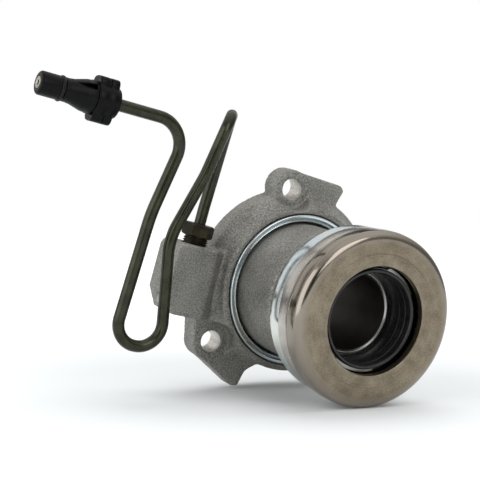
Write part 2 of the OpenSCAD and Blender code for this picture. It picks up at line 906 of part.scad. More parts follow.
// Collar: a ring with an upper and a lower grip lobe, each crossed by a groove
module connector_collar() {
    color(black)
        placed()
            at_connector()
                difference() {
                    union() {
                        translate([0, 0, grip_start])
                            cylinder(r = tail_r + grip_wall, h = grip_len, $fn = fn_round);
                        intersection() {
                            translate([0, 0, grip_start])
                                cylinder(r = lobe_r, h = grip_len, $fn = fn_round);
                            translate([-lobe_w / 2, -lobe_r, grip_start])
                                cube([lobe_w, 2 * lobe_r, grip_len]);
                        }
                    }
                    translate([0, 0, grip_start - cut])
                        cylinder(r = grip_bore_r, h = grip_len + 2 * cut, $fn = fn_small);
                    for (side = [-1, 1])
                        translate([-lobe_w / 2 - cut, side * lobe_r - grip_groove_deep,
                            grip_start + (grip_len - grip_groove_w) / 2])
                            cube([lobe_w + 2 * cut, 2 * grip_groove_deep, grip_groove_w]);
                }
}

// Ring that spreads the spring's push over the seal
module spring_seat() {
    color(steel)
        placed()
            ring(piston_in_r, piston_r, seal_rear, lip_seal_z);
}

// Lip seal: a rubber ring with two lips that open toward the pressure
module lip_seal() {
    color(rubber)
        placed()
            turned([
                [guide_r + seat_gap, lip_seal_z],
                [guide_r + seat_gap + lip_t, lip_seal_z],
                [(guide_r + cylinder_r) / 2, piston_rear - 2 * lip_t],
                [cylinder_r - seat_gap - lip_t, lip_seal_z],
                [cylinder_r - seat_gap, lip_seal_z],
                [cylinder_r - seat_gap, piston_rear - lip_t],
                [cylinder_r - lip_t, piston_rear],
                [guide_r + lip_t, piston_rear],
                [guide_r + seat_gap, piston_rear - lip_t]
            ]);
}

// Piston: moulded tube whose stepped front neck carries the bearing
module piston() {
    step_up = (neck_front - stop_z) / 4;
    color(black)
        placed()
            turned([
                [piston_in_r, piston_rear],
                [piston_r, piston_rear],
                [piston_r, carrier_z],
                [neck_r, carrier_z],
                [neck_r, clip_z],
                [neck_r - clip_deep, clip_z],
                [neck_r - clip_deep, clip_z + clip_t + 2 * seat_gap],
                [neck_r, clip_z + clip_t + 2 * seat_gap],
                [neck_r, neck_front - clip_deep],
                [neck_r - clip_deep, neck_front],
                [lip_r, neck_front],
                [neck_in_r + neck_step_r, neck_front - clip_deep],
                [neck_in_r + neck_step_r, stop_z + 2 * step_up],
                [neck_in_r, stop_z + 2 * step_up],
                [neck_in_r, stop_z - step_gap],
                [piston_in_r, stop_z - step_gap]
            ]);
}

// Bearing carrier: a pressed steel cup with a rolled rear rim
module bearing_carrier() {
    color(zinc)
        placed()
            union() {
                ring(neck_r + seat_gap, rim_r - carrier_t / 2, carrier_z, carrier_front);
                turned([
                    [rim_rear_r - carrier_t, carrier_z - rim_back],
                    [rim_rear_r, carrier_z - rim_back],
                    [rim_r, carrier_z + rim_front],
                    [rim_r - carrier_t, carrier_z + rim_front]
                ]);
                o_ring(rim_rear_r - rim_roll_r, rim_roll_r, carrier_z - rim_back);
            }
}

// Wave washer, drawn flat, that lets the bearing shift sideways
module centring_spring() {
    color(steel)
        placed()
            ring(race_in_r, inner_shoulder_r, centring_rear, centring_rear + centring_spring_t);
}

// Inner race: flange, ball groove and a front sleeve under the clip
module inner_race() {
    color(steel)
        placed()
            difference() {
                turned([
                    [race_in_r, race_rear],
                    [inner_shoulder_r, race_rear],
                    [inner_shoulder_r, ball_z],
                    [pitch_r - ball_r, ball_z + ball_r / 2],
                    [sleeve_r, ball_z + ball_r / 2],
                    [sleeve_r, sleeve_front],
                    [race_in_r, sleeve_front]
                ]);
                o_ring(pitch_r, groove_r, ball_z);
            }
}

// Spring clip: an open ring in the neck's groove
module bearing_clip() {
    color(steel)
        placed()
            sector(neck_r - clip_deep + seat_gap, clip_r, clip_turn + clip_gap_angle / 2,
                clip_turn + 360 - clip_gap_angle / 2, clip_z + seat_gap, clip_z + seat_gap + clip_t);
}

// Ball cage: a moulded crown whose round pockets are open at the rear
module ball_cage() {
    color(black)
        placed()
            difference() {
                ring(cage_in_r, cage_out_r, ball_z - cage_back, cage_front);
                for (i = [0:ball_count - 1])
                    rotate([0, 0, 360 * i / ball_count])
                        translate([pitch_r, 0, ball_z])
                            sphere(r = ball_r + pocket_play, $fn = fn_small);
            }
}

module bearing_balls() {
    color(steel)
        placed()
            for (i = [0:ball_count - 1])
                rotate([0, 0, 360 * i / ball_count])
                    translate([pitch_r, 0, ball_z])
                        sphere(r = ball_r, $fn = fn_small);
}

// Outline of the outer race, as radius and height
module outer_race_outline() {
    round_z = face_z - face_round;
    translate([face_bore_r, face_z - face_t])
        square([bearing_r - face_round - face_bore_r, face_t]);
    translate([outer_shoulder_r, ball_z])
        square([ring_wall_in_r - outer_shoulder_r, face_z - face_t / 2 - ball_z]);
    translate([pitch_r + ball_r, ball_z - race_skirt])
        square([ring_wall_in_r - pitch_r - ball_r, 2 * race_skirt]);
    translate([outer_shoulder_r, cover_front])
        square([bearing_r - outer_shoulder_r, round_z - cover_front]);
    translate([outer_shoulder_r, round_z])
        square([bearing_r - face_round - outer_shoulder_r, face_z - round_z]);
    translate([bearing_r - face_round, round_z])
        intersection() {
            circle(r = face_round, $fn = fn_small);
            square([face_round, face_round]);
        }
}

// Outer race with its front plate, which the clutch fingers press on
module outer_race() {
    color(warm_steel)
        placed()
            difference() {
                rotate_extrude($fn = fn_round)
                    outer_race_outline();
                o_ring(pitch_r, groove_r, ball_z);
                ring(face_line_r, face_line_r + face_line_w, face_z - face_line_deep, face_z + cut);
            }
}

// Cover: sheet band pressed over the outer race, with a rear lip
module bearing_cover() {
    color(steel)
        placed()
            turned([
                [cover_r - cover_t, cover_front],
                [cover_r - cover_t, cover_rear + cover_t],
                [cover_lip_r, cover_rear + cover_t],
                [cover_lip_r, cover_rear],
                [cover_r, cover_rear],
                [cover_r, cover_front]
            ]);
}

// Rubber disc that closes the gap behind the balls
module bearing_seal() {
    color(rubber)
        placed()
            ring(seal_in_r, cover_lip_r - seat_gap, seal_z, seal_z + seal_t);
}

housing();
guide_tube();
guide_tube_seal();
spigot_seal();
stop_ring();
wiper_ring();
collar_ring();
preload_spring();
union_nut();
hydraulic_pipe();
gallery_ball();
connector_body();
connector_insert();
connector_seal();
connector_collar();
spring_seat();
lip_seal();
piston();
bearing_carrier();
centring_spring();
inner_race();
bearing_clip();
ball_cage();
bearing_balls();
outer_race();
bearing_cover();
bearing_seal();
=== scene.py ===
"""Concentric slave cylinder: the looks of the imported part, built around its solids.

Lengths are in millimetres along the shaft axis and out from it, and are turned into the part's own
frame, in metres, when a mesh is made: the mounting face lies at zero and the bearing faces -Y.
"""

import json
import logging
import math
from dataclasses import dataclass, field
from enum import Enum
from typing import Callable, Iterable, NamedTuple, Optional, Sequence

import bmesh
import bpy
import numpy as np
from mathutils import Matrix, Vector

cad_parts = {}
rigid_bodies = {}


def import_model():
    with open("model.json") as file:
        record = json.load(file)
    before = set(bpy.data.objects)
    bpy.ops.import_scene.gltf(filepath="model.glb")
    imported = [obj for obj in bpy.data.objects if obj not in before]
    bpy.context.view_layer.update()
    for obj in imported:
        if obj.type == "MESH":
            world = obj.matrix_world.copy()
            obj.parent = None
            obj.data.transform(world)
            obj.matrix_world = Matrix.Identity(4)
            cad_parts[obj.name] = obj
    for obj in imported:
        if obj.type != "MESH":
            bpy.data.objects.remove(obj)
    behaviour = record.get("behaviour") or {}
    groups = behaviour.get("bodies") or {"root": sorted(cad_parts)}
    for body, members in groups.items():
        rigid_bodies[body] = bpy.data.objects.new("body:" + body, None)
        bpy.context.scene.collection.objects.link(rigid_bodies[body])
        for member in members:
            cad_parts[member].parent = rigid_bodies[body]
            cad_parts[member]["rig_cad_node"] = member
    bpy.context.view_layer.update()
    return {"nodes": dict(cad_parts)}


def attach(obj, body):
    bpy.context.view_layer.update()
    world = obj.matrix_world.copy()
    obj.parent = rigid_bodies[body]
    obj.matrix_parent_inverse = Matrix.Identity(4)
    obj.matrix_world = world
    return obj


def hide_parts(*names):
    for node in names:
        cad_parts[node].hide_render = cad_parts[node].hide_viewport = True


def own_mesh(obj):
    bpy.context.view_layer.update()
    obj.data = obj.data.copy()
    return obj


Point = tuple[float, float]
Place = tuple[float, float, float]
Colour = tuple[float, float, float]
Outline = Sequence[tuple[float, ...]]
Piece = bpy.types.Object
Socket = bpy.types.NodeSocket

LOG = logging.getLogger("slave_cylinder")
MM = 0.001
FULL_TURN = 2 * math.pi
TINY = 1e-6
WELD = 1e-7
GAMMA = 2.2
NEARLY_STRAIGHT = math.radians(88)
SIDE_SHARE = 0.49
WHITE = (1.0, 1.0, 1.0, 1.0)

BOLT_CIRCLE = 42.0
LUG_TURNS = [math.radians(angle) for angle in (105, 225, 345)]
BOLT_PLACES = [(BOLT_CIRCLE * math.cos(turn), BOLT_CIRCLE * math.sin(turn)) for turn in LUG_TURNS]
BALL_CIRCLE = 28.5
BALL_HEIGHT = 68.0
BALL_GROOVE = 4.02


def linear(colour: Colour) -> tuple[float, float, float, float]:
    """Turns a colour as a screen shows it, from 0 to 255, into the shader's own values."""
    return (*((c / 255) ** GAMMA for c in colour), 1.0)


def around(count: int) -> list[float]:
    """Gives that many equally spaced angles of a full turn, in radians."""
    return [FULL_TURN * j / count for j in range(count)]


def ball_groove(radius: float, first: float, last: float, count: int) -> list[Point]:
    """Gives the points of a race's groove; a radius below zero lies inside the balls' circle."""
    turns = np.linspace(first, last, count)
    return [(BALL_CIRCLE + radius * math.cos(t), BALL_HEIGHT + radius * math.sin(t)) for t in turns]


@dataclass(frozen=True)
class Axis:
    """A line that turned pieces are built around."""

    origin: Vector
    along: Vector
    side: Vector
    up: Vector

    def place(self, radius: float, height: float, angle: float) -> Vector:
        """Finds a point in the part's frame.

        Args:
            radius: distance from the axis, in millimetres.
            height: distance along the axis, in millimetres.
            angle: turn about the axis from side towards up, in radians.

        Returns:
            The point in metres.
        """
        across = self.side * math.cos(angle) + self.up * math.sin(angle)
        return (self.origin + self.along * height + across * radius) * MM


RIGHT, BACK, UP = Vector((1, 0, 0)), Vector((0, 1, 0)), Vector((0, 0, 1))
SHAFT = Axis(Vector((0, 0, 0)), -BACK, RIGHT, UP)
LINE_END = Axis(Vector((-105.2, -28, 54.2)), -RIGHT, -BACK, UP)
PORT = Axis(Vector((-48.7, -9, 8.5)), UP, RIGHT, BACK)


class Corner(NamedTuple):
    """One corner of a turned outline: radius, height and the size of its rounding."""

    r: float
    z: float
    rounding: float = 0.0


class Ends(Enum):
    """What becomes of the first and the last row of points of a skin."""

    POINTED = "each is one point of the axis"
    CAPPED = "each gets a face"
    JOINED = "the last joins the first"


def rounded(corners: Sequence[Corner], steps: int) -> list[Point]:
    """Turns corners into an outline with round edges.

    Args:
        corners: the outline's corners in order.
        steps: number of steps on each rounding, which takes up to SIDE_SHARE of a side.

    Returns:
        Radius and height of each point of the outline.
    """
    made: list[Point] = []
    spots = [np.array([corner.r, corner.z]) for corner in corners]
    for i, (corner, here) in enumerate(zip(corners, spots)):
        before, after = spots[i - 1] - here, spots[(i + 1) % len(spots)] - here
        len_before, len_after = np.linalg.norm(before), np.linalg.norm(after)
        if corner.rounding <= 0 or min(len_before, len_after) < TINY:
            made.append((corner.r, corner.z))
            continue
        u, v = before / len_before, after / len_after
        half = math.acos(max(-1.0, min(1.0, float(u @ v)))) / 2
        if half > NEARLY_STRAIGHT:
            made.append((corner.r, corner.z))
            continue
        reach = min(corner.rounding / math.tan(half), len_before * SIDE_SHARE, len_after * SIDE_SHARE)
        radius = reach * math.tan(half)
        middle = here + (u + v) / np.linalg.norm(u + v) * (radius / math.sin(half))
        start, end = here + u * reach - middle, here + v * reach - middle
        first = math.atan2(start[1], start[0])
        turn = math.atan2(end[1], end[0]) - first
        turn = (turn + math.pi) % FULL_TURN - math.pi
        for k in range(steps + 1):
            angle = first + turn * k / steps
            made.append((middle[0] + radius * math.cos(angle), middle[1] + radius * math.sin(angle)))
    return made


def linked(name: str, data: bpy.types.ID) -> Piece:
    """Puts an object with that data into the scene.

    Args:
        name: the object's name.
        data: its mesh, lamp or camera.

    Returns:
        The new object.
    """
    piece = bpy.data.objects.new(name, data)
    bpy.context.scene.collection.objects.link(piece)
    return piece


def finished(name: str, work: bmesh.types.BMesh, sharp_deg: float = 34.0) -> Piece:
    """Closes a mesh in work and links it as an object.

    Args:
        name: the piece's name.
        work: the mesh in work, which is freed.
        sharp_deg: edges that bend more than this stay sharp.

    Returns:
        The new object.
    """
    bmesh.ops.remove_doubles(work, verts=work.verts, dist=WELD)
    bmesh.ops.recalc_face_normals(work, faces=work.faces)
    mesh = bpy.data.meshes.new(name)
    work.to_mesh(mesh)
    work.free()
    mesh.shade_smooth()
    mesh.set_sharp_from_angle(angle=math.radians(sharp_deg))
    return linked(name, mesh)


def skinned(name: str, rows: Sequence[Sequence[Vector]], ends: Ends, sharp_deg: float = 34.0) -> Piece:
    """Makes a piece from rows of points; every row closes on itself.

    Args:
        name: the piece's name.
        rows: rows of equally many points, in metres; a tip's row repeats one point.
        ends: what becomes of the first and the last row.
        sharp_deg: edges that bend more than this stay sharp.

    Returns:
        The new object.
    """
    work = bmesh.new()
    grid = []
    for row in rows:
        tip = row[0] is row[-1]
        grid.append([work.verts.new(row[0])] * len(row) if tip else [work.verts.new(p) for p in row])
    pairs = list(zip(grid, grid[1:]))
    if ends is Ends.JOINED:
        pairs.append((grid[-1], grid[0]))
    for low, high in pairs:
        for j in range(len(low)):
            k = (j + 1) % len(low)
            corners = list(dict.fromkeys((low[j], low[k], high[k], high[j])))
            if len(corners) > 2:
                work.faces.new(corners)
    if ends is Ends.CAPPED:
        work.faces.new(grid[0])
        work.faces.new(list(reversed(grid[-1])))
    return finished(name, work, sharp_deg)


def turned(
    name: str,
    outline: Outline,
    axis: Axis = SHAFT,
    segments: int = 256,
    steps: int = 6,
    reshape: Optional[Callable[[float, float, float], float]] = None,
) -> Piece:
    """Makes a turned piece from a closed outline.

    Args:
        name: the piece's name.
        outline: radius, height and rounding of each corner; radius zero lies on the axis.
        axis: the line that the outline turns around.
        segments: number of steps around the axis.
        steps: number of steps on each rounding.
        reshape: gives a new radius for a radius, height and angle.

    Returns:
        The new object.
    """
    rows = []
    for radius, height in rounded([Corner(*row) for row in outline], steps):
        if radius < TINY:
            rows.append([axis.place(0, height, 0)] * segments)
            continue
        row = []
        for angle in around(segments):
            shaped = reshape(radius, height, angle) if reshape else radius
            row.append(axis.place(shaped, height, angle))
        rows.append(row)
    pointed = outline[0][0] < TINY and outline[-1][0] < TINY
    return skinned(name, rows, Ends.POINTED if pointed else Ends.JOINED)


def swept(name: str, line: Sequence[Vector], radius: float, sides: int) -> Piece:
    """Makes a round bar along a line, with a frame that doesn't twist.

    Args:
        name: the piece's name.
        line: points of the centreline, in metres.
        radius: the bar's radius in metres.
        sides: number of sides of its section.

    Returns:
        The new object.
    """
    rows = []
    forward = (line[1] - line[0]).normalized()
    side = forward.orthogonal().normalized()
    for i, here in enumerate(line):
        ahead = (line[min(i + 1, len(line) - 1)] - line[max(i - 1, 0)]).normalized()
        side = (forward.rotation_difference(ahead) @ side).normalized()
        forward = ahead
        up = forward.cross(side)
        rows.append([here + (side * math.cos(a) + up * math.sin(a)) * radius for a in around(sides)])
    return skinned(name, rows, Ends.CAPPED, sharp_deg=50)


def panel(name: str, middle: Vector, side: Vector, up: Vector) -> Piece:
    """Makes a flat sheet with four corners.

    Args:
        name: the sheet's name.
        middle: its centre, in metres.
        side: the way from the centre to one edge.
        up: the way from the centre to the next edge.

    Returns:
        The new object.
    """
    work = bmesh.new()
    ways = ((-1, -1), (1, -1), (1, 1), (-1, 1))
    work.faces.new([work.verts.new(middle + side * a + up * b) for a, b in ways])
    return finished(name, work)


class NodeTree:
    """A node tree with short calls for adding and joining nodes."""

    def __init__(self, owner: bpy.types.ID) -> None:
        """Takes over a node tree and empties it.

        Args:
            owner: the material or world that holds the tree.
        """
        owner.use_nodes = True
        self.tree = owner.node_tree
        self.tree.nodes.clear()

    def add(self, kind: str, inputs: dict, **settings: object) -> bpy.types.Node:
        """Adds a node.

        Args:
            kind: the node's type.
            inputs: value or output socket for each input, by name or index.
            settings: the node's own settings.

        Returns:
            The new node.
        """
        node = self.tree.nodes.new(kind)
        for key, value in settings.items():
            setattr(node, key, value)
        for key, value in inputs.items():
            self.feed(node.inputs[key], value)
        return node

    def feed(self, socket: Socket, value: object) -> None:
        """Joins an input to an output socket, or gives it a value.

        Args:
            socket: the input.
            value: the output socket or the value.
        """
        if isinstance(value, Socket):
            self.tree.links.new(value, socket)
        else:
            socket.default_value = value

    def maths(self, operation: str, a: object, b: object = 0.0) -> Socket:
        """Gives the result of a sum on two values."""
        return self.add("ShaderNodeMath", {0: a, 1: b}, operation=operation).outputs[0]

    def weighed(self, *parts: tuple[Socket, float]) -> Socket:
        """Adds values up, each times its own weight.

        Args:
            parts: each value with its weight.

        Returns:
            The sum.
        """
        total = self.maths("MULTIPLY", *parts[0])
        for value, weight in parts[1:]:
            total = self.maths("ADD", total, self.maths("MULTIPLY", value, weight))
        return total

    def less(self, value: Socket, other: Socket, share: float) -> Socket:
        """Takes a share of another value away from a value."""
        return self.maths("SUBTRACT", value, self.maths("MULTIPLY", other, share))

    def parts(self, vector: Socket) -> bpy.types.NodeOutputs:
        """Gives the three parts of a vector."""
        return self.add("ShaderNodeSeparateXYZ", {0: vector}).outputs

    def noise(self, vector: Socket, scale: float, detail: float) -> Socket:
        """Gives a noise value around one half at a point."""
        inputs = {"Vector": vector, "Scale": scale, "Detail": detail}
        return self.add("ShaderNodeTexNoise", inputs).outputs["Fac"]

    def spread(self, value: Socket, start: float, end: float, to: Point = (0, 1)) -> Socket:
        """Maps a value's stretch from start to end onto another stretch, and clamps it."""
        inputs = {"Value": value, "From Min": start, "From Max": end, "To Min": to[0], "To Max": to[1]}
        return self.add("ShaderNodeMapRange", inputs).outputs["Result"]

    def blend(self, factor: Socket, first: object, second: object) -> Socket:
        """Mixes two colours, each a socket or a value."""
        inputs = {"Factor": factor, 6: first, 7: second}
        return self.add("ShaderNodeMix", inputs, data_type="RGBA").outputs[2]

    def tint(self, factor: Socket, stretch: Point, dark: Colour, light: Colour) -> Socket:
        """Goes from a dark to a light colour, written from 0 to 255, over a stretch of a value."""
        return self.blend(self.spread(factor, *stretch), linear(dark), linear(light))


class NodeSheet(NodeTree):
    """A material with one main shader."""

    def __init__(self, name: str) -> None:
        """Starts a material with a bare shader.

        Args:
            name: the material's name.
        """
        self.material = bpy.data.materials.new(name)
        super().__init__(self.material)
        self.shader = self.add("ShaderNodeBsdfPrincipled", {})
        self.out = self.add("ShaderNodeOutputMaterial", {0: self.shader.outputs[0]})

    def set(self, **inputs: object) -> None:
        """Sets or joins the shader's inputs; an underscore in a name stands for a space."""
        for key, value in inputs.items():
            self.feed(self.shader.inputs[key.replace("_", " ")], value)

    def place(self) -> Socket:
        """Gives the point of the surface in the part's frame, in metres."""
        return self.add("ShaderNodeTexCoord", {}).outputs["Object"]

    def bump(self, height: Socket, distance: float, strength: float = 0.5) -> None:
        """Raises the surface by a height value times a distance in metres."""
        inputs = {"Height": height, "Distance": distance, "Strength": strength}
        self.set(Normal=self.add("ShaderNodeBump", inputs).outputs[0])

    def rings(self, marks: float, detail: float = 2) -> Socket:
        """Gives a noise that is the same all round the shaft axis, for turning marks.

        Args:
            marks: marks per metre, outwards and along the axis.
            detail: how finely the marks are broken up.

        Returns:
            The noise value.
        """
        along = self.maths("MULTIPLY", self.parts(self.place())[1], marks)
        radial = self.maths("MULTIPLY", self.radius(), marks)
        point = self.add("ShaderNodeCombineXYZ", {0: radial, 1: along}).outputs[0]
        return self.noise(point, 1.0, detail)

    def radius(self, x: float = 0.0, z: float = 0.0) -> Socket:
        """Gives the distance from a line along the shaft.

        Args:
            x: the line's place to the right, in metres.
            z: the line's place upwards, in metres.

        Returns:
            The distance in metres.
        """
        parts = self.parts(self.place())
        across = self.maths("POWER", self.maths("SUBTRACT", parts[0], x), 2)
        up = self.maths("POWER", self.maths("SUBTRACT", parts[2], z), 2)
        return self.maths("SQRT", self.maths("ADD", across, up))

    def within(self, away: Socket, limit: float, fade: float = 0.0001) -> Socket:
        """Gives one where a distance is below a limit and zero beyond it, in metres."""
        return self.spread(away, limit, limit + fade, (1, 0))


@dataclass(frozen=True)
class CastFinish:
    """Shot-blasted grey casting with bright bolt holes."""

    name: str = "cast_housing"
    light: Colour = (158, 157, 151)
    dark: Colour = (102, 101, 96)
    cut: Colour = (210, 206, 199)
    contrast: Point = (0.38, 0.62)
    roughness: Point = (0.64, 0.46)
    cut_gloss: float = 0.26
    metallic: Point = (0.5, 1)
    pit_depth: float = 0.0003
    hole: float = 0.00452

    def bored(self, sheet: NodeSheet) -> Socket:
        """Finds the bored walls of the bolt holes.

        Args:
            sheet: the material in work.

        Returns:
            One on the bored walls, and zero on raw casting.
        """
        share = 0.0
        for x, z in BOLT_PLACES:
            inside = sheet.within(sheet.radius(x * MM, z * MM), self.hole)
            share = sheet.maths("MAXIMUM", share, inside)
        return share

    def material(self) -> bpy.types.Material:
        """Makes the material: fine grains, faint clouds and a pitted surface.

        Returns:
            The material.
        """
        sheet = NodeSheet(self.name)
        place = sheet.place()
        grain, cloud = sheet.noise(place, 1500, 4), sheet.noise(place, 70, 4)
        mixed = sheet.weighed((grain, 0.7), (cloud, 0.3))
        bored = self.bored(sheet)
        raw = sheet.tint(mixed, self.contrast, self.dark, self.light)
        rough = sheet.spread(grain, 0.3, 0.7, self.roughness)
        sheet.set(
            Base_Color=sheet.blend(bored, raw, linear(self.cut)),
            Metallic=sheet.spread(bored, 0, 1, self.metallic),
            Roughness=sheet.less(rough, bored, self.cut_gloss),
        )
        sheet.bump(sheet.noise(place, 1300, 5), self.pit_depth, 1.0)
        return sheet.material


@dataclass(frozen=True)
class TurnedFinish:
    """Metal with turning marks around the shaft axis."""

    name: str
    light: Colour
    dark: Colour
    roughness: Point = (0.2, 0.34)
    marks: float = 9000.0
    cloud_scale: float = 90.0
    contrast: Point = (0.36, 0.64)
    mark_depth: float = 0.000006

    def material(self) -> bpy.types.Material:
        """Makes the material: fine rings, soft clouds in the colour and uneven gloss.

        Returns:
            The material.
        """
        sheet = NodeSheet(self.name)
        rings = sheet.rings(self.marks)
        mixed = sheet.weighed((rings, 0.45), (sheet.noise(sheet.place(), self.cloud_scale, 4), 0.55))
        sheet.set(
            Base_Color=sheet.tint(mixed, self.contrast, self.dark, self.light),
            Metallic=1.0,
            Roughness=sheet.spread(mixed, 0.35, 0.65, self.roughness),
        )
        sheet.bump(rings, self.mark_depth)
        return sheet.material


@dataclass(frozen=True)
class RaceFinish:
    """Brown-tinted bearing steel: a dull mottled face and a glossy rounded edge."""

    name: str = "race_steel"
    light: Colour = (156, 145, 127)
    dark: Colour = (118, 108, 92)
    edge: Colour = (150, 142, 131)
    contrast: Point = (0.38, 0.62)
    roughness: Point = (0.46, 0.34)
    edge_gloss: float = 0.25
    face_rim: float = 0.0302
    rim_fade: float = 0.003
    speck_depth: float = 0.00002

    def material(self) -> bpy.types.Material:
        """Makes the material: the face is told from the edge by its distance from the axis.

        Returns:
            The material.
        """
        sheet = NodeSheet(self.name)
        rings = sheet.rings(5200, 3)
        speck, cloud = sheet.noise(sheet.place(), 1600, 6), sheet.noise(sheet.place(), 190, 4)
        mixed = sheet.weighed((speck, 0.4), (cloud, 0.4), (rings, 0.2))
        outside = sheet.spread(sheet.radius(), self.face_rim, self.face_rim + self.rim_fade)
        face = sheet.tint(mixed, self.contrast, self.dark, self.light)
        dull = sheet.spread(mixed, 0.36, 0.64, self.roughness)
        sheet.set(
            Base_Color=sheet.blend(outside, face, linear(self.edge)),
            Metallic=1.0,
            Roughness=sheet.less(dull, outside, self.edge_gloss),
        )
        sheet.bump(speck, self.speck_depth)
        return sheet.material


@dataclass(frozen=True)
class TubeFinish:
    """Bright turned tube whose bore is painted dark brown as shade for its deep inside."""

    name: str = "tube_steel"
    bright: Colour = (188, 188, 184)
    worn: Colour = (160, 160, 156)
    # painted shade: light and dark colours for the bore, standing in for the shade deep inside the tube
    bore_shade: Colour = (58, 50, 44)
    bore_shade_dark: Colour = (34, 30, 27)
    metallic: Point = (1, 0.5)
    roughness: Point = (0.2, 0.5)
    bore: float = 0.01556
    mark_depth: float = 0.000006

    def material(self) -> bpy.types.Material:
        """Makes the material: the bore's painted shade is told from the rest by its distance from the
        axis.

        Returns:
            The material.
        """
        sheet = NodeSheet(self.name)
        rings = sheet.rings(7000)
        cloud = sheet.noise(sheet.place(), 80, 4)
        inside = sheet.within(sheet.radius(), self.bore)
        outer = sheet.tint(rings, (0.36, 0.64), self.worn, self.bright)
        # painted shade: the bore's dark brown stands in for the shade deep inside the tube
        bore_shade = sheet.tint(cloud, (0.38, 0.62), self.bore_shade_dark, self.bore_shade)
        sheet.set(
            Base_Color=sheet.blend(inside, outer, bore_shade),
            Metallic=sheet.spread(inside, 0, 1, self.metallic),
            Roughness=sheet.spread(inside, 0, 1, self.roughness),
        )
        sheet.bump(rings, self.mark_depth)
        return sheet.material


@dataclass(frozen=True)
class ZincFinish:
    """Bright zinc plating with a faint blue and straw tint."""

    name: str
    blue: Colour
    straw: Colour
    drift: Point = (0.4, 0.6)
    roughness: Point = (0.1, 0.26)
    mark_depth: float = 0.000005

    def material(self) -> bpy.types.Material:
        """Makes the material: slow colour drift, a few draw lines and small stains.

        Returns:
            The material.
        """
        sheet = NodeSheet(self.name)
        place = sheet.place()
        rings = sheet.rings(5000)
        rough = sheet.weighed((sheet.noise(place, 420, 5), 0.6), (rings, 0.4))
        sheet.set(
            Base_Color=sheet.tint(sheet.noise(place, 28, 2), self.drift, self.blue, self.straw),
            Metallic=1.0,
            Roughness=sheet.spread(rough, 0.35, 0.7, self.roughness),
        )
        sheet.bump(rings, self.mark_depth, 0.4)
        return sheet.material


@dataclass(frozen=True)
class CoatFinish:
    """Dark coating on metal, glossy or satin."""

    name: str
    light: Colour
    dark: Colour
    roughness: Point
    metallic: float
    grain: float = 900.0
    contrast: Point = (0.38, 0.64)
    grain_depth: float = 0.00003

    def material(self) -> bpy.types.Material:
        """Makes the material: a slightly uneven dark colour and gloss.

        Returns:
            The material.
        """
        sheet = NodeSheet(self.name)
        place = sheet.place()
        fine = sheet.noise(place, self.grain, 4)
        sheet.set(
            Base_Color=sheet.tint(sheet.noise(place, 160, 4), self.contrast, self.dark, self.light),
            Metallic=self.metallic,
            Roughness=sheet.spread(fine, 0.35, 0.68, self.roughness),
        )
        sheet.bump(fine, self.grain_depth)
        return sheet.material


@dataclass(frozen=True)
class MouldedFinish:
    """Moulded plastic or rubber."""

    name: str
    light: Colour
    dark: Colour
    roughness: Point
    grain: float = 1800.0
    specular: float = 0.5
    contrast: Point = (0.38, 0.66)
    grain_depth: float = 0.00004

    def material(self) -> bpy.types.Material:
        """Makes the material: faint flow clouds and a fine moulded grain.

        Returns:
            The material.
        """
        sheet = NodeSheet(self.name)
        place = sheet.place()
        fine = sheet.noise(place, self.grain, 3)
        sheet.set(
            Base_Color=sheet.tint(sheet.noise(place, 220, 4), self.contrast, self.dark, self.light),
            Roughness=sheet.spread(fine, 0.35, 0.68, self.roughness),
            Specular_IOR_Level=self.specular,
        )
        sheet.bump(fine, self.grain_depth)
        return sheet.material


class Palette:
    """Every finish of the object, made once."""

    def __init__(self) -> None:
        """Makes the materials by the record's slot names."""
        finishes = [
            CastFinish(),
            TubeFinish(),
            ZincFinish("zinc_plate", (214, 224, 228), (232, 232, 224)),
            ZincFinish("carrier_zinc", (204, 214, 218), (232, 234, 226)),
            TurnedFinish("bright_steel", (176, 174, 170), (140, 138, 134)),
            TurnedFinish("spring_steel", (150, 150, 148), (112, 112, 110)),
            TurnedFinish("clip_steel", (92, 94, 96), (58, 59, 61), (0.28, 0.4)),
            RaceFinish(),
            TurnedFinish("cover_steel", (214, 208, 201), (182, 177, 170), (0.2, 0.3), 12000, 120),
            CoatFinish("nut_steel", (54, 48, 32), (20, 18, 11), (0.28, 0.46), 0.7, 700),
            CoatFinish("pipe_coating", (56, 58, 42), (40, 42, 29), (0.16, 0.26), 0.4),
            MouldedFinish("connector_plastic", (7, 7, 7), (3, 3, 3), (0.3, 0.46), specular=0.16),
            MouldedFinish("piston_plastic", (38, 38, 40), (24, 24, 25), (0.26, 0.42)),
            TurnedFinish("insert_metal", (200, 192, 178), (150, 142, 130), (0.22, 0.36)),
            MouldedFinish("seal_rubber", (18, 18, 18), (9, 9, 9), (0.3, 0.46), 1200, 0.25),
        ]
        self.by_slot = {finish.name: finish.material() for finish in finishes}

    def dress(self, piece: Piece, slot: str) -> None:
        """Gives a piece the material of a slot.

        Args:
            piece: a new piece, or a solid that is carried over.
            slot: the slot's name.
        """
        piece.data.materials.clear()
        piece.data.materials.append(self.by_slot[slot])


class Body(Enum):
    """The moving groups of the part."""

    HOUSING = "housing_group"
    PISTON = "piston_group"
    CAGE = "cage_group"
    BEARING = "bearing_group"


@dataclass
class SubAssembly:
    """Base of the sub-assemblies: the palette and the list of pieces made."""

    palette: Palette
    nodes: dict
    made: list[str] = field(default_factory=list)

    def keep(self, piece: Piece, slot: str, body: Body, *stands_for: str) -> Piece:
        """Dresses a new piece, lets it ride on a body and hides the nodes it stands for.

        Args:
            piece: the new piece.
            slot: its material slot.
            body: the group it moves with.
            stands_for: nodes that the piece replaces.

        Returns:
            The same piece.
        """
        self.palette.dress(piece, slot)
        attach(piece, body.value)
        if stands_for:
            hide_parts(*stands_for)
        self.made.append(piece.name)
        return piece

    def dress_nodes(self, **slots: str) -> None:
        """Gives carried-over nodes their materials.

        Args:
            slots: the slot of each node, by the node's name.
        """
        for node, slot in slots.items():
            self.palette.dress(self.nodes[node], slot)
            self.made.append(node)


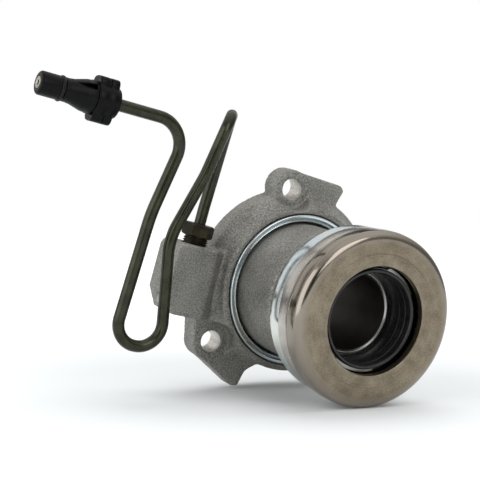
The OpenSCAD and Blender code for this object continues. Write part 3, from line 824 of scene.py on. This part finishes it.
@dataclass
class HousingCasting(SubAssembly):
    """Cast housing with softened edges, its collar ring, guide tube, spring and seals."""

    voxel: float = 0.45
    quick_coarser: int = 2
    soften_turns: int = 14
    soften_step: float = 0.6
    first_turns: int = 2
    first_share: float = 0.5
    fine_share: float = 0.12
    fine_radius: float = 33.4
    hole_reach: float = 5.2
    rear_skin: float = 0.6
    spring_rear: float = 4.05
    spring_front: float = 26.45
    spring_squeezed: float = 10.9
    spring_coil: float = 20.0
    spring_wire: float = 1.0
    spring_turns: int = 3
    turn_steps: int = 64
    ring: Outline = (
        (31.2, 12.5, 0.1), (32.3, 12.5, 0.1), (32.3, 17.8, 0.4), (31.95, 18.62, 0.45),
        (30.75, 18.62, 0.55), (30.2, 17.75, 0.35), (29.85, 17.6, 0.1), (29.7, 17.85, 0.12),
        (29.3, 17.65, 0.15), (29.25, 16.4, 0.15), (29.6, 16.3, 0.1), (31.2, 16.9, 0.3),
    )
    tube: Outline = (
        (15.5, -8, 0.3), (21, -8, 0.2), (21, -6.5, 0.2), (17, -6.5, 0.3),
        (17, 58), (16.5, 58), (16.5, 59.5), (17, 59.5, 0.1),
        (17, 61, 0.3), (16.15, 61, 0.15), (15.5, 60.35, 0.1),
    )

    def machined(self, points: np.ndarray) -> np.ndarray:
        """Says how much each point may be softened.

        Args:
            points: points in the part's frame, in millimetres.

        Returns:
            One for raw casting, and a small share near the machined bores and the rear face.
        """
        x, z = points[:, 0], points[:, 2]
        share = np.ones(len(points))
        share[np.hypot(x, z) < self.fine_radius] = self.fine_share
        for hole_x, hole_z in BOLT_PLACES:
            share[np.hypot(x - hole_x, z - hole_z) < self.hole_reach] = self.fine_share
        share[points[:, 1] > -self.rear_skin] = self.fine_share
        return share

    def casting(self) -> Piece:
        """Makes the casting: the node's own form, remeshed finely and softened along its raw edges.

        Returns:
            The casting.
        """
        work = bmesh.new()
        work.from_mesh(self.nodes["housing"].data)
        bmesh.ops.remove_doubles(work, verts=work.verts, dist=TINY)
        piece = finished("housing_casting", work)
        remesh = piece.modifiers.new("grain", "REMESH")
        remesh.mode = "VOXEL"
        remesh.voxel_size = self.voxel * MM * 1
        graph = bpy.context.evaluated_depsgraph_get()
        mesh = bpy.data.meshes.new_from_object(piece.evaluated_get(graph))
        piece.modifiers.clear()
        piece.data = mesh
        self.soften(mesh)
        mesh.shade_smooth()
        return piece

    def soften(self, mesh: bpy.types.Mesh) -> None:
        """Rounds a mesh's edges by moving each point towards its neighbours.

        Args:
            mesh: the mesh, which is changed.
        """
        count = len(mesh.vertices)
        points = np.empty(count * 3)
        mesh.vertices.foreach_get("co", points)
        points = points.reshape(-1, 3)
        ends = np.empty(len(mesh.edges) * 2, np.int64)
        mesh.edges.foreach_get("vertices", ends)
        a, b = ends[0::2], ends[1::2]
        degree = np.bincount(np.r_[a, b], minlength=count).astype(float)
        share = self.machined(points / MM)
        for turn in range(self.soften_turns):
            middle = np.empty_like(points)
            for k in range(3):
                total = np.bincount(a, points[b, k], count) + np.bincount(b, points[a, k], count)
                middle[:, k] = total / degree
            allowed = share if turn >= self.first_turns else np.maximum(share, self.first_share)
            points += (middle - points) * (self.soften_step * allowed)[:, None]
        mesh.vertices.foreach_set("co", points.ravel())
        mesh.update()

    def collar_ring(self) -> Piece:
        """Makes the rolled ring in the collar's pocket: a bright bead over a sloping wall."""
        return turned("collar_ring_rolled", self.ring, steps=8)

    def guide_tube(self) -> Piece:
        """Makes the guide tube with its bright bevelled front end."""
        return turned("guide_tube_turned", self.tube)

    def spring(self) -> Piece:
        """Makes the helical preload spring at its rest length.

        Returns:
            The spring.
        """
        low, high = self.spring_rear + self.spring_wire, self.spring_front - self.spring_wire
        steps = self.turn_steps * self.spring_turns
        line = []
        for i in range(steps + 1):
            angle = FULL_TURN * self.spring_turns * i / steps
            line.append(SHAFT.place(self.spring_coil, low + (high - low) * i / steps, angle))
        return swept("preload_spring_wound", line, self.spring_wire * MM, 16)

    def squeeze(self, spring: Piece) -> None:
        """Gives the spring its own copy of its mesh, which stays at its rest length.

        Args:
            spring: the spring at its rest length.
        """
        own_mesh(spring)

    def build(self) -> None:
        """Builds and dresses every piece of the housing."""
        self.keep(self.casting(), "cast_housing", Body.HOUSING, "housing")
        self.keep(self.collar_ring(), "zinc_plate", Body.HOUSING, "collar_ring")
        self.keep(self.guide_tube(), "tube_steel", Body.HOUSING, "guide_tube")
        self.dress_nodes(
            guide_tube_seal="seal_rubber",
            spigot_seal="seal_rubber",
            stop_ring="bright_steel",
            wiper_ring="seal_rubber",
            gallery_ball="bright_steel",
        )
        self.squeeze(self.keep(self.spring(), "spring_steel", Body.HOUSING, "preload_spring"))


@dataclass
class PistonGroup(SubAssembly):
    """Piston, bearing carrier, inner race and the clip that holds them."""

    clip_arcs: tuple[Point, ...] = ((36.0, 84.0), (240.0, 294.0))
    clip_bore: float = 19.35
    clip_rim: float = 20.1
    clip_tab: float = 21.2
    clip_taper: float = 3.0
    clip_ends: Point = (72.65, 73.35)
    clip_bevels: Point = (0.08, 0.1)
    clip_start: float = math.radians(170)
    clip_sweep: float = math.radians(320)
    clip_steps: int = 320
    moulding: Outline = (
        (17.1, 34), (22.9, 34, 0.4), (22.9, 60.45, 0.1), (19.9, 60.45), (19.9, 72.6, 0.1),
        (19.3, 72.6), (19.3, 73.4), (19.9, 73.4, 0.1), (19.9, 74.4, 0.3), (19.45, 75, 0.25),
        (18.65, 75, 0.25), (18.3, 74.5, 0.1), (18.3, 71.4, 0.2), (18.1, 71.2, 0.1),
        (18.1, 67.6, 0.2), (17.95, 67.4, 0.1), (17.95, 64.2, 0.1), (17.9, 57.9), (17.1, 57.9),
    )
    cup: Outline = (
        (19.95, 60.5), (31.2, 60.5, 0.8), (32.2, 59.6, 0.8), (32.0, 56.4, 0.3),
        (31.95, 55.0, 0.45), (32.8, 54.62, 0.45), (33.62, 54.9, 0.45), (33.66, 55.9, 0.25),
        (33.52, 56.3, 0.15), (34.15, 56.7, 0.3), (33.9, 59.2, 0.8), (33.5, 61.6, 0.3),
        (33.1, 62.0, 0.2), (32.4, 61.7, 0.3), (19.95, 61.7),
    )
    race: Outline = (
        (20.5, 62.3, 0.2), (27.6, 62.3, 0.3), (27.6, 64.05, 0.1),
        *ball_groove(-BALL_GROOVE, 1.35, -0.42, 12),
        (24.5, 70.0, 0.1), (21.4, 70.0, 0.3), (21.4, 72.5, 0.25), (20.5, 72.5, 0.25),
    )

    def piston(self) -> Piece:
        """Makes the moulded piston with its stepped front neck."""
        return turned("piston_moulded", self.moulding)

    def carrier(self) -> Piece:
        """Makes the pressed carrier cup with its rolled double rear edge."""
        return turned("bearing_carrier_pressed", self.cup)

    def inner_race(self) -> Piece:
        """Makes the inner race with its flange, ball groove and front sleeve."""
        return turned("inner_race_turned", self.race)

    def clip(self) -> Piece:
        """Makes the spring clip: a thin open ring with two wider stretches.

        Returns:
            The clip.
        """
        (low, high), (rear, front) = self.clip_ends, self.clip_bevels
        rows = []
        for i in range(self.clip_steps + 1):
            angle = self.clip_start + self.clip_sweep * i / self.clip_steps
            outer = self.clip_radius(math.degrees(angle) % 360)
            edge = [(outer - rear, low), (outer, low + rear), (outer, high - front)]
            section = [(self.clip_bore, low), *edge, (outer - front, high), (self.clip_bore, high)]
            rows.append([SHAFT.place(r, z, angle) for r, z in section])
        return skinned("bearing_clip_sprung", rows, Ends.CAPPED)

    def clip_radius(self, angle: float) -> float:
        """Gives the clip's outer radius.

        Args:
            angle: turn about the shaft, in degrees.

        Returns:
            The radius in millimetres.
        """
        share = 0.0
        for first, last in self.clip_arcs:
            into = min(angle - first, last - angle) / self.clip_taper
            share = max(share, min(1.0, max(0.0, into)))
        return self.clip_rim + (self.clip_tab - self.clip_rim) * share

    def build(self) -> None:
        """Builds and dresses every piece that slides with the piston."""
        self.keep(self.piston(), "piston_plastic", Body.PISTON, "piston")
        self.keep(self.carrier(), "carrier_zinc", Body.PISTON, "bearing_carrier")
        self.keep(self.inner_race(), "clip_steel", Body.PISTON, "inner_race")
        self.keep(self.clip(), "bright_steel", Body.PISTON, "bearing_clip")
        self.dress_nodes(
            spring_seat="bright_steel",
            lip_seal="seal_rubber",
            centring_spring="spring_steel",
        )


@dataclass
class ReleaseBearing(SubAssembly):
    """Outer race, cover band, seal, cage and balls."""

    face_bore: float = 21.5
    rim: float = 35.0
    face: float = 78.2
    face_round: float = 4.6
    face_dip: float = 0.09
    band: Outline = (
        (33.3, 68.95, 0.1), (34.4, 68.95, 0.35), (34.4, 62.45, 0.45),
        (31.1, 62.45, 0.2), (31.1, 63.5, 0.2), (33.3, 63.5, 0.2),
    )

    def front_ring(self) -> Piece:
        """Makes the outer race with its rounded front and faint ring on the face.

        Returns:
            The outer race.
        """
        bore, rim, face, dip = self.face_bore, self.rim, self.face, self.face - self.face_dip
        outline = (
            (bore, face, 0.45), (26.1, face, 0.6), (26.6, dip, 0.5), (27.5, dip, 0.5),
            (28.0, face, 0.6), (rim, face, self.face_round), (rim, 70.6, 0.3),
            (34.45, 70.35, 0.1), (34.85, 70.1, 0.15), (34.9, 69.4, 0.3), (34.55, 69.05, 0.2),
            (33.25, 69.0), (33.25, 65.5, 0.2), (32.52, 65.5, 0.1),
            *ball_groove(BALL_GROOVE, 0.0, 1.2, 10),
            (29.4, 74.3, 0.4), (28.4, 75.0, 0.4), (bore, 75.0, 0.3),
        )
        return turned("outer_race_turned", outline, steps=10)

    def cover(self) -> Piece:
        """Makes the cover band with its rolled edges."""
        return turned("bearing_cover_pressed", self.band)

    def build(self) -> None:
        """Builds and dresses every piece of the bearing that turns."""
        self.keep(self.front_ring(), "race_steel", Body.BEARING, "outer_race")
        self.keep(self.cover(), "cover_steel", Body.BEARING, "bearing_cover")
        self.dress_nodes(
            bearing_seal="seal_rubber",
            ball_cage="piston_plastic",
            bearing_balls="bright_steel",
        )


@dataclass
class HydraulicLine(SubAssembly):
    """Union nut and the bent pipe."""

    pipe_radius: float = 2.4
    corners: tuple[Place, ...] = (
        (-48.7, -9, -6.5), (-48.7, -9, 24), (-47.5, -9, 63), (-55.5, -25, 62.7),
        (-60.6, -26, 37), (-69.7, -28, 9.5), (-60.8, -28, -34.6), (-82, -28, -34.6),
        (-80.1, -28, 17), (-73.4, -28, 54.2), (-116.2, -28, 54.2),
    )
    bends: tuple[float, ...] = (0, 30, 8.5, 8.5, 40, 25, 9.2, 9.2, 60, 11.2, 0)
    bend_steps: int = 20
    line_step: float = 2.0
    nut_flats: float = 11.5
    nut_height: float = 5.4
    nut_turn: float = math.radians(43)
    nut_corner: float = 0.12
    thread_show: float = 3.0
    thread_rear: float = -4.0
    thread_sink: float = 0.05
    thread_root: float = 4.65
    thread_crest: float = 5.24
    thread_form: Point = (1.5, 4.0)
    thread_grid: tuple[int, int] = (96, 210)
    run_out: Point = (0.4, 0.3)
    pitch: float = 1.0

    def centreline(self) -> list[Vector]:
        """Follows the pipe's corners, with a round bend at each.

        Returns:
            The points of the pipe's centreline, in metres.
        """
        points = [Vector(c) for c in self.corners]
        line = [points[0]]
        for last, here, after, bend in zip(points, points[1:], points[2:], self.bends[1:]):
            back, ahead = (last - here).normalized(), (after - here).normalized()
            half = back.angle(ahead) / 2
            reach = bend / math.tan(half)
            middle = here + (back + ahead).normalized() * (bend / math.sin(half))
            start = (here + back * reach - middle).normalized()
            end = (here + ahead * reach - middle).normalized()
            for k in range(self.bend_steps + 1):
                line.append(middle + start.slerp(end, k / self.bend_steps) * bend)
        line.append(points[-1])
        full = [line[0]]
        for here, after in zip(line, line[1:]):
            pieces = max(1, round((after - here).length / self.line_step))
            full += [here.lerp(after, (k + 1) / pieces) for k in range(pieces)]
        return [p * MM for p in full]

    def pipe(self) -> Piece:
        """Makes the pipe along its centreline."""
        return swept("hydraulic_pipe_coated", self.centreline(), self.pipe_radius * MM, 40)

    def nut(self) -> Piece:
        """Makes the union nut's hexagon: flat sides with worn edges, chamfered at both ends.

        Returns:
            The hexagon.
        """
        low, high = self.thread_show, self.thread_show + self.nut_height
        flat, tip = self.nut_flats / 2, self.nut_flats / math.sqrt(3)
        limits = (
            (tip - 1.0, low), (tip, low + 0.5), (tip, high - 0.55), (tip - 0.95, high),
            (3.3, high), (2.5, high - 0.6),
        )
        reach = math.pi / 6 - self.nut_corner / tip
        spots = []
        for side in range(6):
            for step in (-1, -0.5, 0, 0.5, 1):
                spots.append((self.nut_turn + math.radians(60 * side + 30), step * reach))
        rows = [
            [PORT.place(min(limit, flat / math.cos(lean)), z, middle + lean) for middle, lean in spots]
            for limit, z in limits
        ]
        return skinned("union_nut_hexagon", rows, Ends.CAPPED, 20)

    def thread(self) -> Piece:
        """Makes the nut's thread as a real helix, from inside the port up to the hexagon.

        Returns:
            The thread.
        """
        root, start, end = self.thread_root, self.thread_rear, self.thread_show + self.thread_sink
        (segments, steps), (top, flank) = self.thread_grid, self.thread_form
        rows = []
        for i in range(steps + 1):
            height = start + (end - start) * i / steps
            fade = min(1.0, max(0.0, (end - self.run_out[0] - height) / self.run_out[1]))
            row = []
            for j, angle in enumerate(around(segments)):
                phase = (height / self.pitch - j / segments) % 1.0
                rise = min(1.0, max(0.0, top - abs(phase - 0.5) * flank))
                row.append(PORT.place(root + (self.thread_crest - root) * rise * fade, height, angle))
            rows.append(row)
        return skinned("union_nut_thread", rows, Ends.CAPPED, 60)

    def build(self) -> None:
        """Builds and dresses the nut and the pipe."""
        self.keep(self.nut(), "nut_steel", Body.HOUSING, "union_nut")
        self.keep(self.thread(), "nut_steel", Body.HOUSING)
        self.keep(self.pipe(), "pipe_coating", Body.HOUSING, "hydraulic_pipe")


@dataclass
class LineConnector(SubAssembly):
    """Push-in connector at the pipe's free end."""

    tail: float = 5.8
    barrel: float = 6.3
    nose: float = 4.55
    length: float = 32.4
    shoulder: float = 0.15
    insert_bore: float = 2.36
    lobe: float = 8.75
    lobe_width: float = 8.5
    squareness: float = 5.0
    ring_wall: float = 0.9
    collar_bore: float = 5.87
    collar_ends: Point = (10.2, 2.2)
    collar_segments: int = 192
    groove_depth: float = 0.55
    groove_middle: float = 6.0
    groove_half: float = 0.45
    groove_start: float = 0.4
    slot_turn: float = 40.0
    slot_half: float = 11.0
    slot_depth: float = 1.6
    slot_ends: Point = (11.2, 18.4)
    slot_floor: float = 4.75
    drilling: Point = (1.1, 2.3)
    collar_rows: tuple[Point, ...] = (
        (2.2, 0.5), (2.35, 0.2), (2.7, 0), (4.0, 0), (5.3, 0), (5.5, 0.1), (5.56, 0.1), (6.0, 0.1),
        (6.44, 0.1), (6.5, 0.1), (6.7, 0), (8.0, 0), (9.6, 0), (10.0, 0.2), (10.2, 0.5),
    )

    def slotted(self, radius: float, height: float, angle: float) -> float:
        """Sinks the barrel's two slots into its surface.

        Args:
            radius: the barrel's own radius, in millimetres.
            height: distance from the pipe end, in millimetres.
            angle: turn about the connector's axis, in radians.

        Returns:
            The new radius in millimetres.
        """
        if not self.slot_ends[0] < height < self.slot_ends[1] or radius < self.slot_floor:
            return radius
        for turn in (self.slot_turn, self.slot_turn + 180):
            away = abs((math.degrees(angle) - turn + 180) % 360 - 180)
            if away < self.slot_half:
                return min(radius, self.barrel - self.slot_depth)
        return radius

    def body(self) -> Piece:
        """Makes the connector's body from its tail to the rounded nose.

        Returns:
            The body.
        """
        tail, nose, length, bore = self.tail, self.nose, self.length, self.insert_bore
        wide = self.barrel + self.shoulder
        outline = (
            (0, 0.8), (tail, 0.8, 0.3), (tail, 10.4, 0.1), (wide, 10.4, 0.3), (wide, 11.2),
            (wide, 11.21), (wide, 12.1, 0.2), (self.barrel, 12.2, 0.2),
            (self.barrel - 0.2, 14.2, 3.0), (nose + 0.25, 18.9, 4.0), (nose, 21.0, 1.0),
            (nose, 22.6, 0.15), (3.3, 22.6, 0.1), (3.3, 24.4, 0.1), (nose, 24.4, 0.15),
            (nose, length, 2.6), (bore, length, 0.2), (bore, length - 2), (0, length - 2),
        )
        return turned("connector_body_moulded", outline, LINE_END, 192, 8, self.slotted)

    def insert(self) -> Piece:
        """Makes the drilled metal insert in the nose.

        Returns:
            The insert.
        """
        (hole, rim), front = self.drilling, self.length + 0.15
        outline = (
            (hole, 11.0), (rim, 11.0), (rim, front, 0.25), (1.45, front, 0.1),
            (hole, self.length - 0.25, 0.1),
        )
        return turned("connector_insert_turned", outline, LINE_END, 96)

    def collar_radius(self, height: float, angle: float) -> float:
        """Gives the collar's outer radius: a thin ring with an upper and a lower lobe.

        Args:
            height: distance from the pipe end, in millimetres.
            angle: turn about the connector's axis, in radians.

        Returns:
            The radius in millimetres.
        """
        ring, power = self.tail + self.ring_wall, self.squareness
        across = abs(math.cos(angle)) * 2 / self.lobe_width
        along = abs(math.sin(angle)) / self.lobe
        reach = max(ring, (across**power + along**power) ** (-1 / power))
        grooved = abs(height - self.groove_middle) < self.groove_half and reach > ring + self.groove_start
        return reach - (self.groove_depth if grooved else 0.0)

    def collar(self) -> Piece:
        """Makes the grip collar with its two lobes and their grooves.

        Returns:
            The collar.
        """
        angles = around(self.collar_segments)
        rows = []
        for height, trim in self.collar_rows:
            rows.append([LINE_END.place(self.collar_radius(height, a) - trim, height, a) for a in angles])
        for height in self.collar_ends:
            rows.append([LINE_END.place(self.collar_bore, height, a) for a in angles])
        return skinned("connector_collar_moulded", rows, Ends.JOINED, 30)

    def build(self) -> None:
        """Builds and dresses the connector's pieces."""
        self.keep(self.body(), "connector_plastic", Body.HOUSING, "connector_body")
        self.keep(self.insert(), "insert_metal", Body.HOUSING, "connector_insert")
        self.keep(self.collar(), "connector_plastic", Body.HOUSING, "connector_collar")
        self.dress_nodes(connector_seal="seal_rubber")


@dataclass
class Studio:
    """Camera, lamps, floor and the surroundings that metal shows."""

    camera_place: Place = (-0.2997, -0.4951, 0.0412)
    camera_right: Place = (0.8493, -0.4596, 0.2603)
    camera_up: Place = (-0.205, 0.1676, 0.9643)
    lens: float = 100.0
    sensor: float = 36.0
    near: float = 0.01
    floor_normal: Place = (-0.206, 0.137, 0.969)
    floor_half: float = 3.0
    floor_gap: float = 0.0002
    floor_shade: tuple[float, ...] = (0.765, 0.785, 0.795, 1)
    floor_glow: Point = (0.04, 0.42)
    glow_reach: Point = (0.1, 0.4)
    light: float = 0.5
    front_rise: Point = (0.5, 0.92)
    mirrored_front: Point = (0.25, 1.0)
    behind_rise: Point = (0.0, 0.5)
    mirrored_behind: Point = (0.0, 0.9)
    sun_from: Place = (0.24, 0.3, 0.92)
    sun_strength: float = 1.8
    sun_width: float = math.radians(70)
    lamp_target: Place = (-0.03, -0.03, 0.0)
    lamps: tuple[tuple[str, Place, float, float], ...] = (
        ("key", (-1.1, -0.15, 0.15), 1.1, 6.5),
        ("front", (-0.1, -1.1, 0.75), 0.8, 4.0),
    )
    cards: tuple[tuple[str, Place, Point, float], ...] = (
        ("card_low", (-0.65, 1.3, -0.16), (1.0, 0.16), 0.08),
        ("card_high", (0.3, 1.15, 0.62), (1.3, 0.34), 0.1),
        ("card_front", (-0.7, -1.35, 0.0), (0.85, 1.5), 0.05),
    )

    def camera(self) -> None:
        """Places the camera at the photograph's viewing angle."""
        data = bpy.data.cameras.new("camera")
        data.lens = self.lens
        data.sensor_width = self.sensor
        data.clip_start = self.near
        piece = linked("camera", data)
        right = Vector(self.camera_right)
        back = right.cross(Vector(self.camera_up)).normalized()
        up = back.cross(right).normalized()
        turn = Matrix((right.normalized(), up, back)).transposed().to_4x4()
        piece.matrix_world = Matrix.Translation(self.camera_place) @ turn
        bpy.context.scene.camera = piece

    def floor(self, nodes: Iterable[Piece]) -> None:
        """Lays the pale floor under the object, as it rests in the photograph.

        Args:
            nodes: the part's own solids, whose lowest point touches the floor.
        """
        normal = Vector(self.floor_normal).normalized()
        lowest = min(vert.co.dot(normal) for node in nodes for vert in node.data.vertices)
        side = normal.orthogonal().normalized()
        middle = normal * (lowest - self.floor_gap)
        piece = panel("floor", middle, side * self.floor_half, normal.cross(side) * self.floor_half)
        piece.data.materials.append(self.floor_paper())

    def floor_paper(self) -> bpy.types.Material:
        """Makes the floor's material: pale, paler to the camera far out, and clear from behind.

        Returns:
            The material.
        """
        sheet = NodeSheet("floor_paper")
        sheet.set(Base_Color=self.floor_shade, Roughness=0.8, Specular_IOR_Level=0.0)
        plain = sheet.shader.outputs[0]
        seen = sheet.add("ShaderNodeLightPath", {}).outputs["Is Camera Ray"]
        away = sheet.add("ShaderNodeVectorMath", {0: sheet.place()}, operation="LENGTH")
        strength = sheet.spread(away.outputs["Value"], *self.glow_reach, self.floor_glow)
        glow = sheet.add("ShaderNodeEmission", {"Color": WHITE, "Strength": strength})
        both = sheet.add("ShaderNodeAddShader", {0: plain, 1: glow.outputs[0]})
        front = sheet.add("ShaderNodeMixShader", {0: seen, 1: plain, 2: both.outputs[0]})
        clear = sheet.add("ShaderNodeBsdfTransparent", {})
        behind = sheet.add("ShaderNodeNewGeometry", {}).outputs["Backfacing"]
        last = sheet.add("ShaderNodeMixShader", {0: behind, 1: front.outputs[0], 2: clear.outputs[0]})
        sheet.feed(sheet.out.inputs[0], last.outputs[0])
        return sheet.material

    def lamp(self, name: str, place: Place, size: float, power: float) -> None:
        """Hangs a square soft lamp that points at the object.

        Args:
            name: the lamp's name.
            place: its place in metres.
            size: its side in metres.
            power: its power in watts.
        """
        data = bpy.data.lights.new(name, "AREA")
        data.size = size
        data.energy = power
        at = Vector(place)
        turn = (Vector(self.lamp_target) - at).to_track_quat("-Z", "Y").to_matrix().to_4x4()
        linked(name, data).matrix_world = Matrix.Translation(at) @ turn

    def card(self, name: str, place: Place, size: Point, shade: float) -> None:
        """Stands a dark card beside the set, which only metal and gloss show.

        Args:
            name: the card's name.
            place: its centre in metres.
            size: its width and height in metres.
            shade: how pale it is.
        """
        at = Vector(place)
        facing = (-at).normalized()
        side = facing.cross(UP).normalized()
        piece = panel(name, at, side * size[0] / 2, side.cross(facing) * size[1] / 2)
        sheet = NodeSheet(name)
        sheet.set(Base_Color=(shade, shade, shade, 1), Roughness=0.9, Specular_IOR_Level=0.0)
        piece.data.materials.append(sheet.material)
        piece.visible_camera = False
        piece.visible_diffuse = False
        piece.visible_shadow = False

    def sun(self) -> None:
        """Lights the whole set softly from far away."""
        data = bpy.data.lights.new("sky_light", "SUN")
        data.energy = self.sun_strength
        data.angle = self.sun_width
        piece = linked("sky_light", data)
        piece.visible_glossy = False
        piece.matrix_world = Vector(self.sun_from).to_track_quat("Z", "Y").to_matrix().to_4x4()

    def surroundings(self) -> None:
        """Sets the world: white where it is seen, soft as light, and paler upwards in mirrors."""
        world = bpy.data.worlds.new("studio")
        sky = NodeTree(world)
        path = sky.add("ShaderNodeLightPath", {}).outputs
        seen = sky.maths("MAXIMUM", path["Is Camera Ray"], path["Is Transmission Ray"])
        towards = sky.parts(sky.add("ShaderNodeTexCoord", {}).outputs["Generated"])
        front = sky.spread(towards[2], *self.front_rise, self.mirrored_front)
        behind = sky.spread(towards[1], *self.behind_rise, self.mirrored_behind)
        extra = sky.maths("SUBTRACT", sky.maths("MAXIMUM", front, behind), self.light)
        gloss = sky.maths("MULTIPLY", path["Is Glossy Ray"], extra)
        strength = sky.maths("ADD", gloss, self.light)
        light = sky.add("ShaderNodeBackground", {"Color": WHITE, "Strength": strength})
        backdrop = sky.add("ShaderNodeBackground", {"Color": WHITE, "Strength": 1.0})
        both = sky.add("ShaderNodeMixShader", {0: seen, 1: light.outputs[0], 2: backdrop.outputs[0]})
        sky.add("ShaderNodeOutputWorld", {0: both.outputs[0]})
        bpy.context.scene.world = world

    def build(self, nodes: Iterable[Piece]) -> None:
        """Builds the whole set.

        Args:
            nodes: the part's own solids, which the floor is laid under.
        """
        bpy.context.scene.view_settings.view_transform = "Standard"
        self.camera()
        self.floor(nodes)
        self.surroundings()
        self.sun()
        for lamp in self.lamps:
            self.lamp(*lamp)
        for card in self.cards:
            self.card(*card)


def main() -> None:
    """Builds every sub-assembly and the studio."""
    logging.basicConfig(level=logging.INFO, format="%(name)s: %(message)s")
    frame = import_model()
    nodes = frame["nodes"]
    Studio().build(nodes.values())
    palette = Palette()
    for kind in (HousingCasting, PistonGroup, ReleaseBearing, HydraulicLine, LineConnector):
        group = kind(palette, nodes)
        group.build()
        LOG.info("%s: %s", kind.__name__, ", ".join(group.made))


if __name__ == "__main__":
    main()
